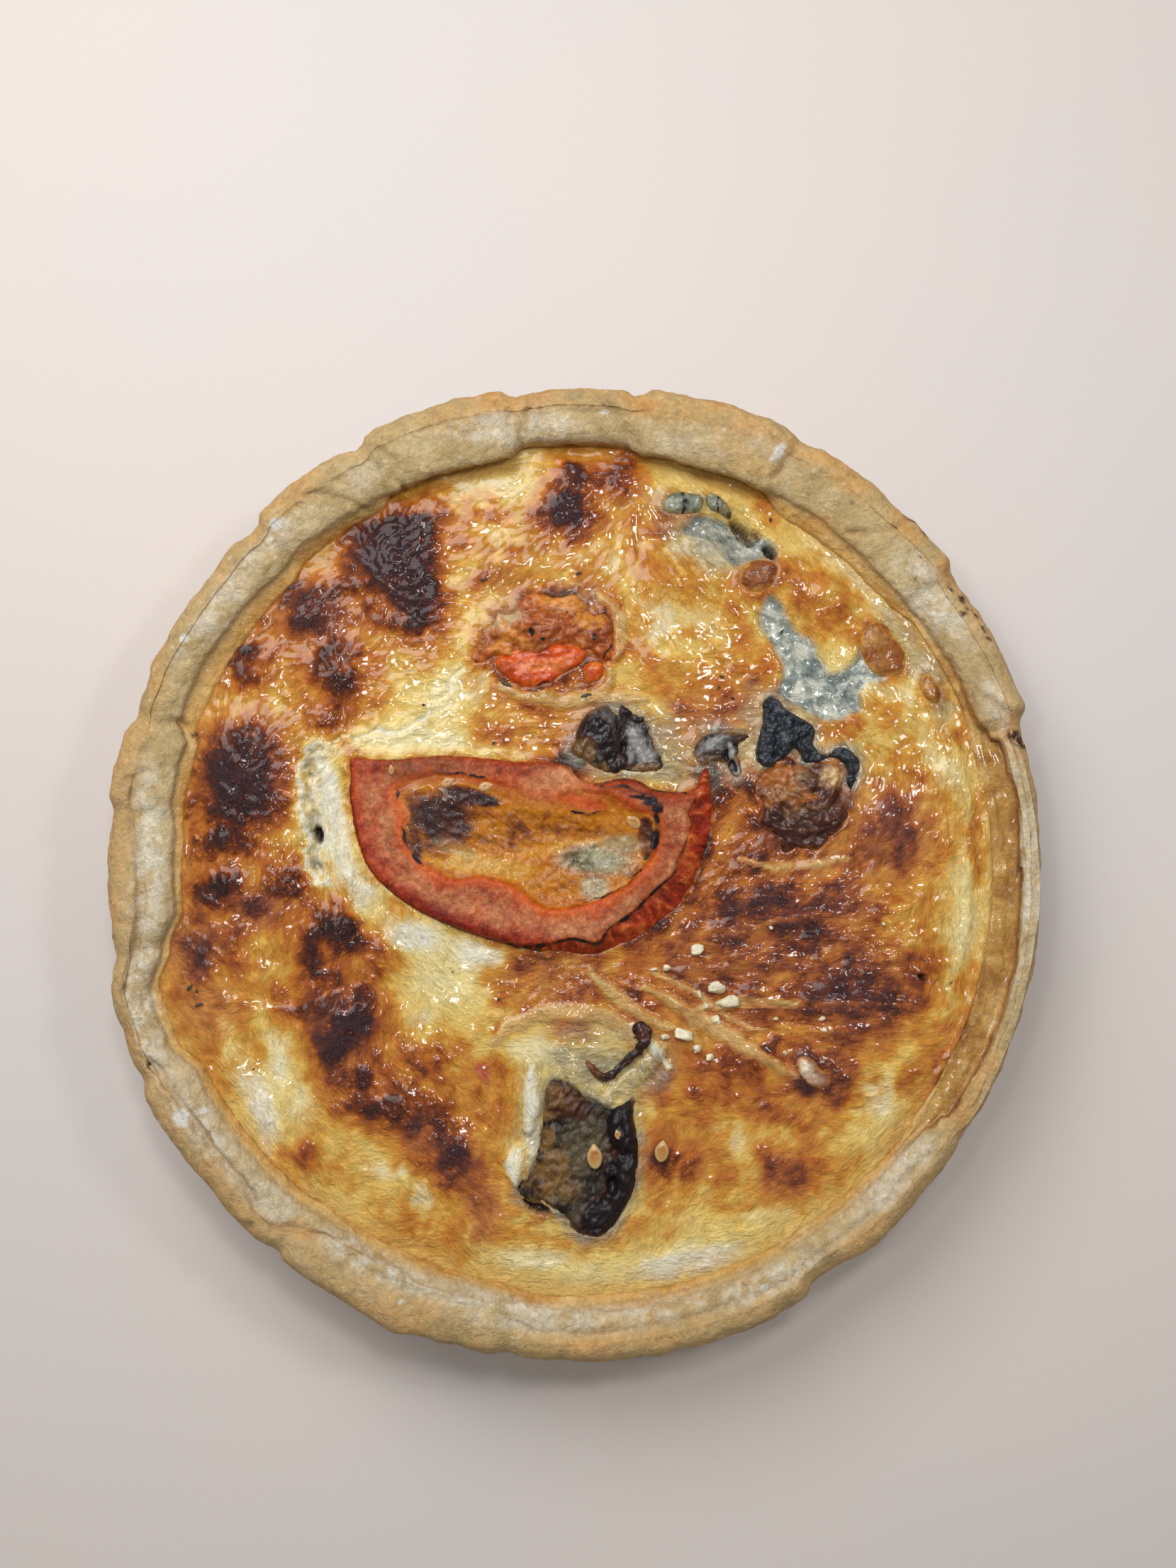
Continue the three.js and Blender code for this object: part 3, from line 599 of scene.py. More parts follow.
def sectionWeights(count, samples):  # curve through the section's points, as weights on them
    rows, marks = [], []
    for i, number in enumerate(samples):
        for step in range(number):
            t = step / number
            weights = np.zeros(count)
            before, here = -t + 2 * t**2 - t**3, 2 - 5 * t**2 + 3 * t**3
            after, beyond = t + 4 * t**2 - 3 * t**3, -(t**2) + t**3
            for k, value in zip((-1, 0, 1, 2), (before, here, after, beyond)):
                weights[min(max(i + k, 0), count - 1)] += value / 2
            if i in (0, len(samples) - 1):  # base and floor stay flat
                weights[:] = 0
                weights[i], weights[i + 1] = 1 - t, t
            rows.append(weights)
            marks.append(i + t)
    last = np.zeros(count)
    last[-1] = 1
    return np.array(rows + [last]), np.array(marks + [len(samples)])


def sectionPoints(degrees):
    values, belly, nick = foldAt(degrees)
    _, outer, crease, inner, foot, height, groove, _ = values.T
    around = np.cos(np.radians(degrees)) * 60, np.sin(np.radians(degrees)) * 60
    outer = outer + 0.4 * belly - 0.45 * nick + 0.7 * cloud(*around, 14, 3, 2.5)
    outer = outer + 0.4 * cloud(*around, 4, 2, 5.5)
    height = height + 0.3 * belly - 0.6 * nick + 0.5 * cloud(*around, 16, 2, 8.5)
    crease = crease + 0.5 * cloud(*around, 12, 3, 3.5)
    inner = inner + 0.5 * cloud(*around, 10, 3, 4.5)
    shoulder = outer - dough["shoulder"][0]
    knee = mix(dough["radius"], shoulder, dough["knee"][0])
    level = dough["level"]
    points = [
        (0, 0), (73.5, 0), (dough["radius"], 1.5), (knee, dough["knee"][1]), (shoulder, dough["shoulder"][1]),
        (outer - 0.7, height - 7.5), (outer, height - 4.8), (outer - 0.7, height - 2.2),
        (outer - 2.3, height - 0.5), (mix(outer - 3, crease, 0.4), height), (crease + 1.1, height - 0.25),
        (crease, height - 0.4 - 0.34 * groove), (crease - 1.2, height - 0.6),
        (mix(crease, inner, 0.6), height - 1), (inner + 0.5, height - 1.9), (inner, height - 3.2),
        (mix(inner, foot, 0.6), mix(height - 3.2, level, 0.7)), (foot, level - 0.9), (foot - 1.2, level - 7),
        (70, 5.5), (68, dough["floor"]), (0, dough["floor"]),
    ]
    # (point, r or z, angle)
    return np.array([np.broadcast_arrays(radius, z, outer)[:2] for radius, z in points])


def between(marks, rise, fall):  # 1 along a stretch of the section, fading in and out between these marks
    return smooth(marks, *rise)[None, :] * (1 - smooth(marks, *fall))[None, :]


def makeCase(material):
    weights, marks = sectionWeights(22, dough["samples"])
    bpy.ops.mesh.primitive_circle_add(vertices=len(marks), radius=0.01, fill_type="NOTHING")
    piece = bpy.context.object
    radius, height = (weights @ sectionPoints(np.array([0.0]))[:, :, 0]).T
    writePlaces(piece, np.column_stack([radius, 0 * radius, height]) * metre)
    bpy.ops.object.mode_set(mode="EDIT")
    bpy.ops.mesh.select_all(action="SELECT")
    bpy.ops.mesh.spin(steps=dough["turns"], angle=2 * math.pi, center=(0, 0, 0), axis=(0, 0, 1))
    bpy.ops.object.mode_set(mode="OBJECT")

    # The spun ring gets its folds: the vertices lie ring by ring, in the order of the section
    rings = readPlaces(piece).reshape(-1, len(marks), 3)
    outermost = rings[:, dough["outermost"]]
    degrees = np.degrees(np.unwrap(np.arctan2(outermost[:, 1], outermost[:, 0])))
    section = np.einsum("sp,pck->kcs", weights, sectionPoints(degrees % 360))
    radius, height = section[:, 0], section[:, 1]
    angle = np.radians(degrees)[:, None]
    x, y = radius * np.cos(angle), radius * np.sin(angle)

    # Which way is out of the dough, for the lumps
    alongR, alongZ = np.gradient(radius, axis=1), np.gradient(height, axis=1)
    length = np.hypot(alongR, alongZ) + 1e-9
    outR, outZ = alongZ / length, -alongR / length
    lumps = 0.2 * cloud(x, y, 7, 4, 1.5, height) + 0.13 * cloud(x, y, 1.8, 2, 4.5, height)
    lumps -= 0.16 * np.clip(cloud(x, y, 1.3, 1, 9.5, height) - 0.25, 0, 1)
    creased = ridges(np.degrees(angle) * 1.1 + 0 * x, height * 2.2 + radius, 5, 2, 3.5)
    lift = between(marks, (3.2, 5), (17.5, 18.5)) * (1.1 * lumps + 0.08 * (creased - 0.3))
    lift += 0.12 * cloud(x, y, 5, 2, 6.5, height) * between(marks, (1.8, 3), (17.5, 18.5))
    top = between(marks, (6.5, 8), (15.5, 16.5))
    # split marks the cracks; the pastry's colour paints shade in their grooves with it
    split = np.zeros_like(x)
    for points, width, depth in dough["cracks"]:
        wander = 0.35 * cloud(x, y, 3, 2, 12.5)
        reach, share, _, _ = lineReach(x + wander, y + wander, smoothLine(points, 5))
        wide = width * (0.45 + 0.55 * np.sin(np.pi * np.clip(share, 0.04, 0.96)))
        cut = np.exp(-((reach / wide) ** 2)) * top
        lift -= 0.6 * depth * cut
        lift += 0.2 * depth * np.exp(-(((reach - 1.7 * width) / (1.2 * width)) ** 2)) * top
        split = np.maximum(split, cut * min(depth, 1))
    rightSide = 1 - smooth(np.abs((np.degrees(angle) + 5 + 180) % 360 - 180), 26, 40)
    channelled = ridges(radius + 0.5 * cloud(x, y, 9, 2, 14.5), np.degrees(angle) * 0.12, 2.0, 2, 15.5)
    lift += rightSide * between(marks, (12.6, 14), (17, 18)) * 1.1 * (channelled - 0.4)
    radius, height = radius + lift * outR, height + lift * outZ
    height[:, 0], radius[:, 0], radius[:, -1] = 0, 0, 0
    height = np.maximum(height, 0)
    x, y = radius * np.cos(angle), radius * np.sin(angle)
    writePlaces(piece, np.stack([x, y, height], axis=2).reshape(-1, 3) * metre)

    outside = between(marks, (2.5, 6), (9.3, 11.5))
    wall = between(marks, (2, 3), (6, 8))
    folded = smooth(foldAt(degrees % 360)[0][:, 6], 0.3, 1.0)[:, None]
    turnedIn = between(marks, (10, 11.2), (14.5, 16)) * folded
    patchy = 0.7 + 0.6 * cloud(x, y, 12, 3, 2.5, height)
    inside = rightSide * between(marks, (13.7, 14.5), (17.5, 18))
    masks = {
        "floury": anySpot(x, y, dough["floury"]) * smooth(marks, 8, 10.5)[None, :] + 0.25 * turnedIn,
        "browned": anySpot(x, y, dough["browned"]) + (0.5 * outside + 0.5 * wall) * patchy,
        "soaked": between(marks, (14.0, 16.2), (17.5, 18)),
        "glazed": inside * (0.9 + 0.5 * cloud(x, y, 6, 2, 7.5)),
        "split": split,
        "scorched": anySpot(x, y, dough["scorched"], 0.3),
        "flourDot": anySpot(x, y, dough["flourDots"], 0.25),
        "rind": rightSide * np.exp(-(((marks - 14.2) / 0.5) ** 2))[None, :],
    }
    for name, values in masks.items():
        keepMask(piece, name, np.clip(np.broadcast_to(values, x.shape), 0, 1).ravel())
    tidyMesh(piece, 2e-6)
    finishPiece(piece, "pastryCase", material, "pastry", "pastry_case")


def makePastryMaterial():
    material, tree, shader, place = newMaterial("pastry", 0.72, 0.0, 0.08, 0.35)
    patchy = noiseValue(place, 110, 5, 0.6, 0.5)
    fine = noiseValue(place, 900, 5, 0.65, 0.2)
    plain = ramp(patchy, [(0.3, 176, 149, 100), (0.5, 194, 168, 118), (0.7, 210, 187, 144)])
    gold = ramp(patchy, [(0.3, 216, 174, 110), (0.55, 208, 156, 88), (0.75, 184, 124, 60)])
    flour = ramp(fine, [(0.3, 204, 190, 160), (0.55, 226, 215, 192), (0.7, 240, 234, 220)])
    wet = ramp(patchy, [(0.3, 222, 186, 122), (0.5, 210, 162, 88), (0.7, 192, 136, 60)])
    browned = maskValue(tree, "browned") * remap(patchy, 0.28, 0.62)
    dusty = maskValue(tree, "floury") * remap(noiseValue(place, 260, 6, 0.7), 0.36, 0.6)
    colour = blendColour(browned * 0.9, plain, gold)
    colour = blendColour(dusty, colour, flour)
    colour = blendColour(maskValue(tree, "soaked"), colour, wet)
    syrup = ramp(patchy, [(0.34, 214, 172, 98), (0.5, 186, 136, 62), (0.64, 146, 92, 34)])
    feed(shader.inputs["Coat Weight"], maskValue(tree, "glazed") * 0.7)
    glazed = clamped(maskValue(tree, "glazed") * remap(patchy, 0.25, 0.5, 0.55, 1.1))
    colour = blendColour(glazed, colour, syrup)
    rind = ramp(patchy, [(0.34, 168, 96, 26), (0.62, 112, 58, 14)])
    colour = blendColour(maskValue(tree, "rind") * 0.85, colour, rind)
    flecks = useGroup(speckle, Vector=place, Scale=700.0, Amount=0.35)["Mask"]
    colour = blendColour(flecks * 0.35, colour, paint(236, 228, 208))
    freckles = useGroup(speckle, Vector=place, Scale=420.0, Amount=0.12)["Mask"]
    colour = blendColour(freckles * 0.5, colour, paint(166, 120, 74))
    # painted shade in the crack grooves, a darker tan
    colour = blendColour(maskValue(tree, "split") * 0.35, colour, paint(160, 126, 90))
    colour = blendColour(maskValue(tree, "flourDot"), colour, paint(226, 222, 212))
    # painted shade in fine creases and painted highlight on their crests, then a broad faint mottling of the
    # same painted light
    colour = useGroup(paintedCreaseShade, Colour=colour, Vector=place, Scale=1000.0, Amount=1.1)["Colour"]
    colour = useGroup(paintedCreaseShade, Colour=colour, Vector=place, Scale=90.0, Amount=0.15)["Colour"]
    burnt = maskValue(tree, "scorched") * remap(fine, 0.36, 0.5)
    colour = blendColour(burnt, colour, paint(70, 36, 22))
    lumpy = noiseValue(place, 300, 6, 0.72, 0.8) * 1.3 + fine * 0.6
    roughness = remap(maskValue(tree, "soaked"), 0.2, 0.9, 0.74, 0.42) - glazed * 0.28
    finishMaterial(shader, colour, lumpy, 0.85, 0.0008, roughness)
    return material


# Filling
filling = {
    # height without the dome, the dome's rise, how far the edge drops and over what width, height of the part
    # inside the pastry, how far out the dome reaches, and the size of the faces
    "level": 23.3, "dome": 1.0, "edgeDrop": 0.5, "edgeWidth": 5, "buried": 21.6, "reach": 78, "cell": 0.46,
    # wide golden to brown washes: x, y, across, along, turn, how far baked
    "washes": [
        (-5, 35, 15, 9, 0, 0.4), (-66, 0, 9, 34, 4, 0.4), (-56, 42, 9, 16, -42, 0.34),
        (-34, 52, 14, 16, 0, 0.36), (-12, 56, 12, 12, 0, 0.26), (-10, 27, 11, 5, 0, 0.36),
        (-58, -12, 14, 12, 0, 0.34), (-44, -22, 9, 16, 0, 0.42), (-28, -46, 14, 9, -30, 0.42),
        (-30, -64, 18, 7, -25, 0.24), (-2, -22, 14, 8, 0, 0.42), (-18, -40, 8, 8, 0, 0.34),
        (2, 68, 14, 8, 0, 0.3), (14, 56, 12, 6, 0, 0.24), (28, 34, 16, 9, -10, 0.34), (8, 46, 7, 9, 0, 0.26),
        (46, 50, 10, 7, -40, 0.34), (36, -16, 28, 17, -14, 0.52), (44, 4, 20, 14, 0, 0.42),
        (28, 4, 9, 14, 15, 0.44), (16, -22, 12, 10, 0, 0.44), (60, 14, 7, 12, 0, 0.34),
        (56, -22, 12, 12, 0, 0.44), (34, -38, 22, 9, -10, 0.4), (20, -48, 9, 12, 0, 0.36),
        (42, -54, 12, 7, 0, 0.3), (6, -66, 14, 5, 0, 0.26), (66, -38, 7, 9, -40, 0.34),
        (-66, -32, 8, 10, 20, 0.3), (-72, 20, 5, 18, -10, 0.36), (-74, -12, 4, 18, 4, 0.4),
        (-46, -50, 12, 10, 40, 0.2), (52, 28, 12, 6, 0, 0.26), (66, 2, 6, 14, 0, 0.26),
        (-44, 8, 3, 10, 0, 0.2), (73, 26, 2.6, 8, 12, 0.34), (74.6, 8, 1.4, 12, 0, 0.3),
        (72, -26, 3, 12, -22, 0.36), (66, -32, 5, 6, 0, 0.3),
    ],
    # which way the skin is drawn: middle and reach of the place, then a centre it runs out from, or an angle
    "pulls": [
        ((38, -14), 26, (-4, -18)), ((-61, 17), 12, (-61, 17)), ((-36, 56), 11, (-36, 55)),
        ((-44, 36), 8, (-44, 36)), ((-64, -10), 9, (-58, -24)), ((-58, -24), 8, (-56, -25)),
        ((-42, -28), 9, (-40, -14)), ((-54, -44), 12, -58), ((-28, -46), 10, -35), ((-30, -64), 12, -25),
        ((0, 58), 12, 60), ((20, 54), 12, -60), ((26, 32), 12, 10), ((45, 48), 9, -45),
        ((58, 8), 9, (50, -4)), ((14, -56), 9, 75), ((38, -56), 12, 30), ((-14, -20), 10, -20),
        ((-24, 28), 14, 5), ((66, 14), 9, 80), ((68, -14), 9, 100), ((-44, 10), 6, 70), ((24, -34), 9, -33),
        ((-10, -44), 8, 80), ((56, 30), 9, -35),
    ],
    # x, y, across, along, up
    "blisters": [
        (-36, 56, 9, 8, 1.5), (-50, 49, 6, 8, 1.0), (-45, 36, 6, 8, 1.2), (-58, 39, 6, 5, 0.7),
        (-62, 19, 8, 10, 1.6), (-62, -3, 9, 5, 0.8), (-43, -12, 5, 7, 1.2), (-44, -28, 6, 8, 1.1),
        (-31, -44, 7, 5, 1.0), (-21, -51, 6, 6, 1.0), (-2, 68, 6, 6, 1.2), (-12, 57, 9, 5, 0.9),
        (17, 53, 11, 6, 1.2), (17, 39, 7, 5, 0.8), (47, 50, 7, 8, 1.2), (57, 9, 6, 7, 0.9),
        (33, -6, 8, 5, 0.9), (52, -22, 9, 8, 0.8), (69, 17, 5, 9, 0.9), (38, -52, 10, 6, 0.7),
        (-55, -43, 9, 12, 0.9),
    ],
    # x, y, across, along, turn, down
    "hollows": [
        (29, 63, 7, 3.5, -40, 2.0), (44, 40, 11, 5, -55, 1.3), (-47.5, 9, 2.5, 12, 8, 1.3),
        (61, 39, 10, 6, -38, 1.8), (-7, 7, 20, 8, 0, 0.7),
    ],
    # browned places: x, y, across, along, turn, how far baked
    "baked": [
        (-0.4, 21.4, 4.4, 4, 0, 0.72), (4, 29.6, 6, 1.6, 0, 0.5), (27, 16.4, 5, 3, -20, 0.6),
        (1.4, 25, 2, 4, 0, 0.5), (20, 24.6, 3, 1.6, 0, 0.4),
        # upper left
        (-35, 63.5, 7, 3, 0, 0.9), (-29.5, 62, 4.6, 6, 0, 0.95), (-35.5, 57, 7, 6.5, 0, 1.0),
        (-30.5, 52, 5, 5, 0, 0.97), (-28.5, 46, 4, 4.4, 0, 0.84), (-36, 47, 4, 3.5, 0, 0.6),
        (-43, 50, 3.5, 4, 0, 0.6), (-50, 49.5, 7.2, 5.2, -32, 0.8), (-58, 46, 2.5, 2, 0, 0.65),
        (-52, 42, 3, 3, 0, 0.5), (-61, 38.5, 5.8, 4.8, 0, 0.74), (-44, 36.5, 6.2, 8, 12, 0.84),
        (-46, 28, 5, 3.2, 0, 0.7), (-38, 33, 3, 4, 0, 0.5), (-61, 17.5, 7.5, 8, 0, 0.97),
        (-60, 24.5, 6, 3, 0, 0.68), (-64, 5, 6.5, 4.5, 0, 0.85), (-62, 11.5, 7, 4, 0, 0.8),
        (-55, 3, 4, 4, 0, 0.35), (-52, 10, 4, 6, 0, 0.22), (-17, 66, 4, 1.6, -20, 0.5),
        (-21, 65, 2, 2, 0, 0.4), (-22, 60, 2.4, 3.4, 0, 0.5), (-27, 68.5, 1.6, 1, 0, 0.4),
        (-1.5, 67, 3.4, 5, 0, 0.95), (0, 73, 4, 3.4, 0, 0.75), (8, 73.5, 3.6, 5, 0, 0.72),
        (-16, 53, 4.5, 2.4, 20, 0.5), (-9, 58, 5, 3, 15, 0.45), (-3, 52, 5, 4, 0, 0.42),
        (-70, 13, 3, 8, 0, 0.4), (-71, 4, 3, 6, 0, 0.4), (-62, 44, 5, 8, -42, 0.3),
        (-40, 43, 12, 10, 0, 0.22), (-56, 29, 8, 5, 0, 0.3), (-8, 31, 9, 1.4, 4, 0.4),
        # upper right
        (13, 63.5, 6, 4, 0, 0.45), (4, 62, 3.5, 2.6, 0, 0.4), (15.7, 54, 6.5, 3.6, 0, 0.5),
        (13, 58, 3, 1.5, 0, 0.35), (24, 53, 3, 2, 0, 0.3), (5.4, 48, 4, 8, 10, 0.45),
        (14.6, 38.2, 2.6, 2.6, 0, 0.5), (20, 43.6, 5, 1.2, 4, 0.3), (30.4, 46.5, 2.6, 5.5, 10, 0.42),
        (33, 38, 5, 6, 0, 0.38), (26, 35.6, 4, 2, 0, 0.3), (25, 28.6, 8, 4.6, -10, 0.52),
        (14, 26, 4, 6, 20, 0.36), (30, 29.6, 4, 4, 0, 0.4), (43, 55.4, 5, 3, -10, 0.45),
        (46, 47, 5, 4, -20, 0.52), (41, 50, 5, 4, 0, 0.36), (35.8, 66, 3, 4, 30, 0.34),
        (50.6, 26, 4, 3, -10, 0.55), (58, 26, 4, 7, 0, 0.3), (58.6, 10, 4.5, 6.5, 10, 0.64),
        (60, 3, 6, 5, 0, 0.52), (54, 5.5, 4, 5, 0, 0.55), (30, 8.5, 3, 7, 10, 0.5), (26, 5, 4, 5, 0, 0.42),
        (45, 18.6, 9, 5, 0, 0.38), (36, 14, 5, 5, 0, 0.4), (68, 26, 4, 6, 20, 0.26), (41, 2, 14, 4, 0, 0.5),
        (66, 5, 3, 8, 0, 0.4),
        # lower left
        (-66, -4.2, 6, 3.2, 0, 0.88), (-58, -6.4, 3.6, 3, 0, 0.68), (-52.4, -3, 3.3, 4, 0, 0.8),
        (-70, -14.6, 4, 5.4, 0, 0.72), (-65, -13, 4, 5, 0, 0.4), (-66, -19, 4, 2.6, 0, 0.6),
        (-71, -22, 5, 3.6, 0, 0.52), (-67, -26.5, 3.4, 5, 15, 0.42), (-74.4, -8, 2.4, 13, 0, 0.5),
        (-56, -13, 7, 7, 0, 0.26), (-43.5, -11.5, 5, 3.6, 0, 0.97), (-48, -15.5, 2.2, 5.5, 0, 0.85),
        (-37.5, -13, 5, 3.4, -15, 0.66), (-43, -6, 2.6, 4, 0, 0.5), (-45, -20, 4, 3, 0, 0.78),
        (-48, -25, 3, 4, 0, 0.8), (-42, -30, 3.8, 4.4, 0, 0.88), (-39.6, -26, 3.4, 7, 0, 0.78),
        (-44, -34, 3.4, 2.6, 0, 0.8), (-40, -38, 3.4, 3.4, 0, 0.8), (-35.6, -28, 3, 5, 0, 0.5),
        (-54, -23, 4.4, 2.8, -20, 0.5), (-34, -43.6, 6, 3.2, 0, 0.92), (-27.5, -44.6, 3.4, 3, 0, 0.76),
        (-24, -47.4, 3, 3, 0, 0.66), (-21.4, -52, 4.4, 4, 0, 0.82), (-20, -57, 3, 3, 0, 0.62),
        (-17.2, -62, 2.4, 5.4, 0, 0.52), (-27, -35, 7, 4, 0, 0.52), (-24, -41.4, 4.6, 4, 0, 0.42),
        (-33, -33.4, 5, 4, 0, 0.4), (-47.8, -52.6, 2.8, 4.2, 0, 0.52), (-13.4, -43.8, 1.8, 5, 0, 0.46),
        (-12, -59, 3, 5, 0, 0.42), (-27, -65.4, 9, 3.6, -14, 0.36), (-7, -64, 3, 2, 0, 0.46),
        (-2, -21, 8, 4, 0, 0.55), (-8, -17, 4, 3, 0, 0.5), (-10, -24.6, 4, 3, 20, 0.42),
        (-13, -28.2, 3.6, 1.3, 25, 0.4), (-46, -44, 4, 7, 0, 0.2), (-66, -32, 4, 7, 15, 0.34),
        # lower right
        (34, -6.4, 5, 3.4, 10, 0.74), (29, -9, 3, 2, 0, 0.6), (49, -5.4, 3.2, 2.6, 0, 0.56),
        (55, -8, 4, 3, 0, 0.58), (62.6, -12, 3.4, 3, 0, 0.42), (53, -16, 4.6, 5, 0, 0.56),
        (51.6, -24.4, 6, 4, 0, 0.72), (46, -21.4, 4.4, 3.6, 0, 0.6), (58, -23, 4.4, 4.4, 0, 0.52),
        (45, -12, 6, 8, 0, 0.5), (37, -15, 6, 5, 0, 0.5), (59, -29, 4.6, 2.4, 0, 0.5),
        (49, -30, 8, 3.4, 0, 0.58), (35.5, -32.4, 2, 2, 0, 0.66), (46.6, -35, 4.4, 3.6, 0, 0.6),
        (48.6, -40.6, 4, 3, 0, 0.66), (30, -35.6, 7, 2.8, -12, 0.62), (16.2, -38.6, 2.4, 5, -15, 0.55),
        (24, -45, 2.8, 1.5, -20, 0.55), (22, -41, 5, 3.4, 0, 0.42), (15.6, -54, 4, 5, 0, 0.74),
        (39, -54.6, 5, 3.6, 0, 0.66), (43, -46, 7, 3.4, 15, 0.42), (27, -57, 3.6, 4.6, 0, 0.36),
        (31, -61.2, 6, 1.8, 8, 0.3), (21, -50, 2, 4, 0, 0.34), (68, -41, 4, 4.6, -35, 0.55),
        (35, -24, 10, 8, 0, 0.42), (24, -20, 9, 6, -20, 0.42), (30, -2, 8, 4, 0, 0.45),
        (55, 0, 10, 4, 0, 0.42), (62, -5, 5, 8, 0, 0.36), (12, -22, 6, 5, 0, 0.4), (16, -30, 4, 4, 0, 0.4),
        (63, -20, 3.4, 5, 0, 0.42), (8, -58.6, 4, 2, 0, 0.3),
    ],
    # places with a lilac-brown tint: reddish browning with a painted lilac sheen on it
    "rosy": [
        (-50, 49, 8, 5, -30, 0.8), (-36, 58, 8, 5, 0, 0.7), (-2, 67, 4, 5, 0, 0.8), (-61, 20, 8, 8, 0, 0.7),
        (-70, -15, 5, 6, 0, 0.9), (-58, -7, 5, 4, 0, 0.9), (-67, -26, 5, 5, 0, 0.8), (-43, -30, 6, 8, 0, 0.7),
        (-27, -48, 4, 3, 0, 0.9), (-21, -53, 5, 5, 0, 0.9), (-17, -62, 3, 6, 0, 0.9), (58, 8, 8, 8, 0, 0.8),
        (34, -7, 8, 5, 0, 0.9), (50, -6, 6, 4, 0, 0.9), (52, -22, 10, 9, 0, 0.8), (36, -14, 18, 8, 0, 0.6),
        (25, 28, 8, 5, 0, 0.6), (-15, 53, 5, 3, 0, 0.4), (46, -37, 7, 6, 0, 0.6), (38, -55, 5, 4, 0, 0.5),
        (42, 3, 14, 5, 0, 0.5), (-4, -20, 10, 5, 0, 0.5), (26, -24, 12, 8, 0, 0.4), (-30, 52, 5, 6, 0, 0.4),
    ],
    # places that stayed pale
    "fresh": [
        (-44, 7, 3.2, 12, 8, 0.9), (-38.6, -6, 3, 6, 35, 0.9), (-29, -14, 3, 8, 58, 0.85),
        (-46, -62, 8, 4, -35, 0.5), (-60, -38, 4, 12, 22, 0.5),
    ],
    # cream-white places
    "cream": [
        (20, 57, 8, 4, -20, 0.9), (4, 56, 5, 4, 0, 0.9), (26, 60, 3, 7, 35, 0.9), (14, 47, 5, 5, 0, 0.9),
        (24, 47, 6, 3, 0, 0.6), (30, 40, 3, 3, 0, 0.6), (-2, 47, 2, 2, 0, 0.3), (67, 20, 4, 8, 10, 0.6),
        (71, 4, 2.4, 10, 0, 0.6), (70, -14, 2.6, 10, -8, 0.5), (58, 33, 9, 2.4, -20, 0.7),
        (-17, 34, 6, 4, 0, 0.9), (-28, 23.6, 14, 2.4, 0, 0.6), (-24, 31, 3, 4, -30, 0.6),
        (-46, 14, 3, 8, 8, 1.0), (-44, 5, 3, 8, 0, 0.9), (-41, -3, 5, 6, 30, 0.9), (-30, -12, 7, 4, -20, 1.0),
        (-18, -16, 6, 4, -20, 0.9), (-14, -21, 3, 6, 0, 0.7), (-28, -27.6, 2, 1.6, 0, 0.9),
        (-24, -20, 7, 5, 0, 0.4), (-57, -44, 2.6, 12, 18, 0.9), (-62, -36, 2.4, 6, 25, 0.6),
        (-49, -43, 3.4, 5, 0, 0.7), (-54, -34, 2, 6, 0, 0.7), (-11.6, -53, 2, 4, 10, 0.9),
        (-33, -54, 7, 1.6, 5, 0.8), (-27, -59, 3.6, 3, 0, 0.9), (-7, -33, 6, 3, 0, 0.6),
        (26, -50, 5, 4, 0, 0.8), (55, -41, 3.6, 4.6, 0, 0.8), (20, -71, 11, 2.6, 8, 0.9),
        (-8, -71, 8, 2.4, 0, 0.7), (42, -66.5, 8, 1.6, 32, 0.6), (-8, -46, 1.6, 7, 0, 1.0),
        (-18, 70, 7, 2.6, 0, 0.7), (-28, 70, 3, 2, 0, 0.7), (45, 60, 5, 2, -40, 0.6),
        (52, 54, 6, 2, -48, 0.7), (5, -15, 6, 2, 10, 0.3), (24, 12, 3, 6, 0, 0.3), (36, -62, 5, 2, 20, 0.5),
        (3, -74, 6, 2, 0, 0.4), (-14, 62, 4, 3, 0, 0.5), (-46, 22, 8, 1.6, 0, 0.7),
    ],
    # amber, see-through edges
    "amber": [
        (-62, 44, 3, 14, -38, 0.8), (-72, 22, 2.6, 10, -8, 0.7), (-74, 4, 2.4, 12, 0, 0.7),
        (-74, -14, 3, 12, 4, 0.7), (-70, -30, 3, 9, 16, 0.6), (-50, -58, 2.4, 8, 45, 0.5),
        (-30, -68, 12, 2.4, -18, 0.7), (-14, -67, 5, 3, 0, 0.5), (12, -66, 10, 2, 5, 0.5),
        (30, 72, 9, 1.6, -16, 0.7), (66, 40, 2, 10, 42, 0.7), (60, -45, 2.4, 9, -40, 0.5),
        (-20, 74, 14, 1.6, 4, 0.4), (45, -58, 6, 2, 30, 0.4),
    ],
    # long pieces under the skin: points, width, rise, what they look like
    "ribs": [
        ([(-14, 33.4), (-9, 31.6), (-3, 31), (2, 31.4), (5.4, 33.4), (6.6, 36.6)], 2.6, 0.8, "rib"),
        ([(7.4, 39), (8.6, 43), (7.6, 47.4), (4.4, 50.6)], 2.6, 0.7, "rib"),
        ([
            (-15, -31.5), (-12, -29), (-7.6, -27), (-2, -26), (3, -26.4), (8, -28.5), (12, -33),
        ], 3.4, 0.45, "rib"),
        ([(2.6, -18.8), (6, -22), (10, -25), (14, -27.6), (17.4, -29)], 2.4, 0.6, "rib"),
        ([
            (12.4, -21.8), (17, -24.2), (22, -27.2), (27, -30), (32, -33), (36, -35.6), (39.8, -37.8),
        ], 2.7, 0.75, "rib"),
        ([(14, -19), (20, -21.4), (26, -25.4), (30, -28.4), (35, -29.6)], 1.3, 0.5, "rib"),
        ([(22, -25.6), (28, -24.6), (34, -24.2), (40, -25)], 2.0, 0.4, "rib"),
        ([(30, 1.6), (37, 0.6), (44, 0.8), (50, 2)], 1.6, 0.4, "rib"),
        ([(-8, -36.2), (-8, -41), (-8.4, -47.4)], 3.2, 1.1, "cream"),
        ([(-10.4, -51), (-11.2, -54), (-10.8, -57)], 3.0, 0.9, "cream"),
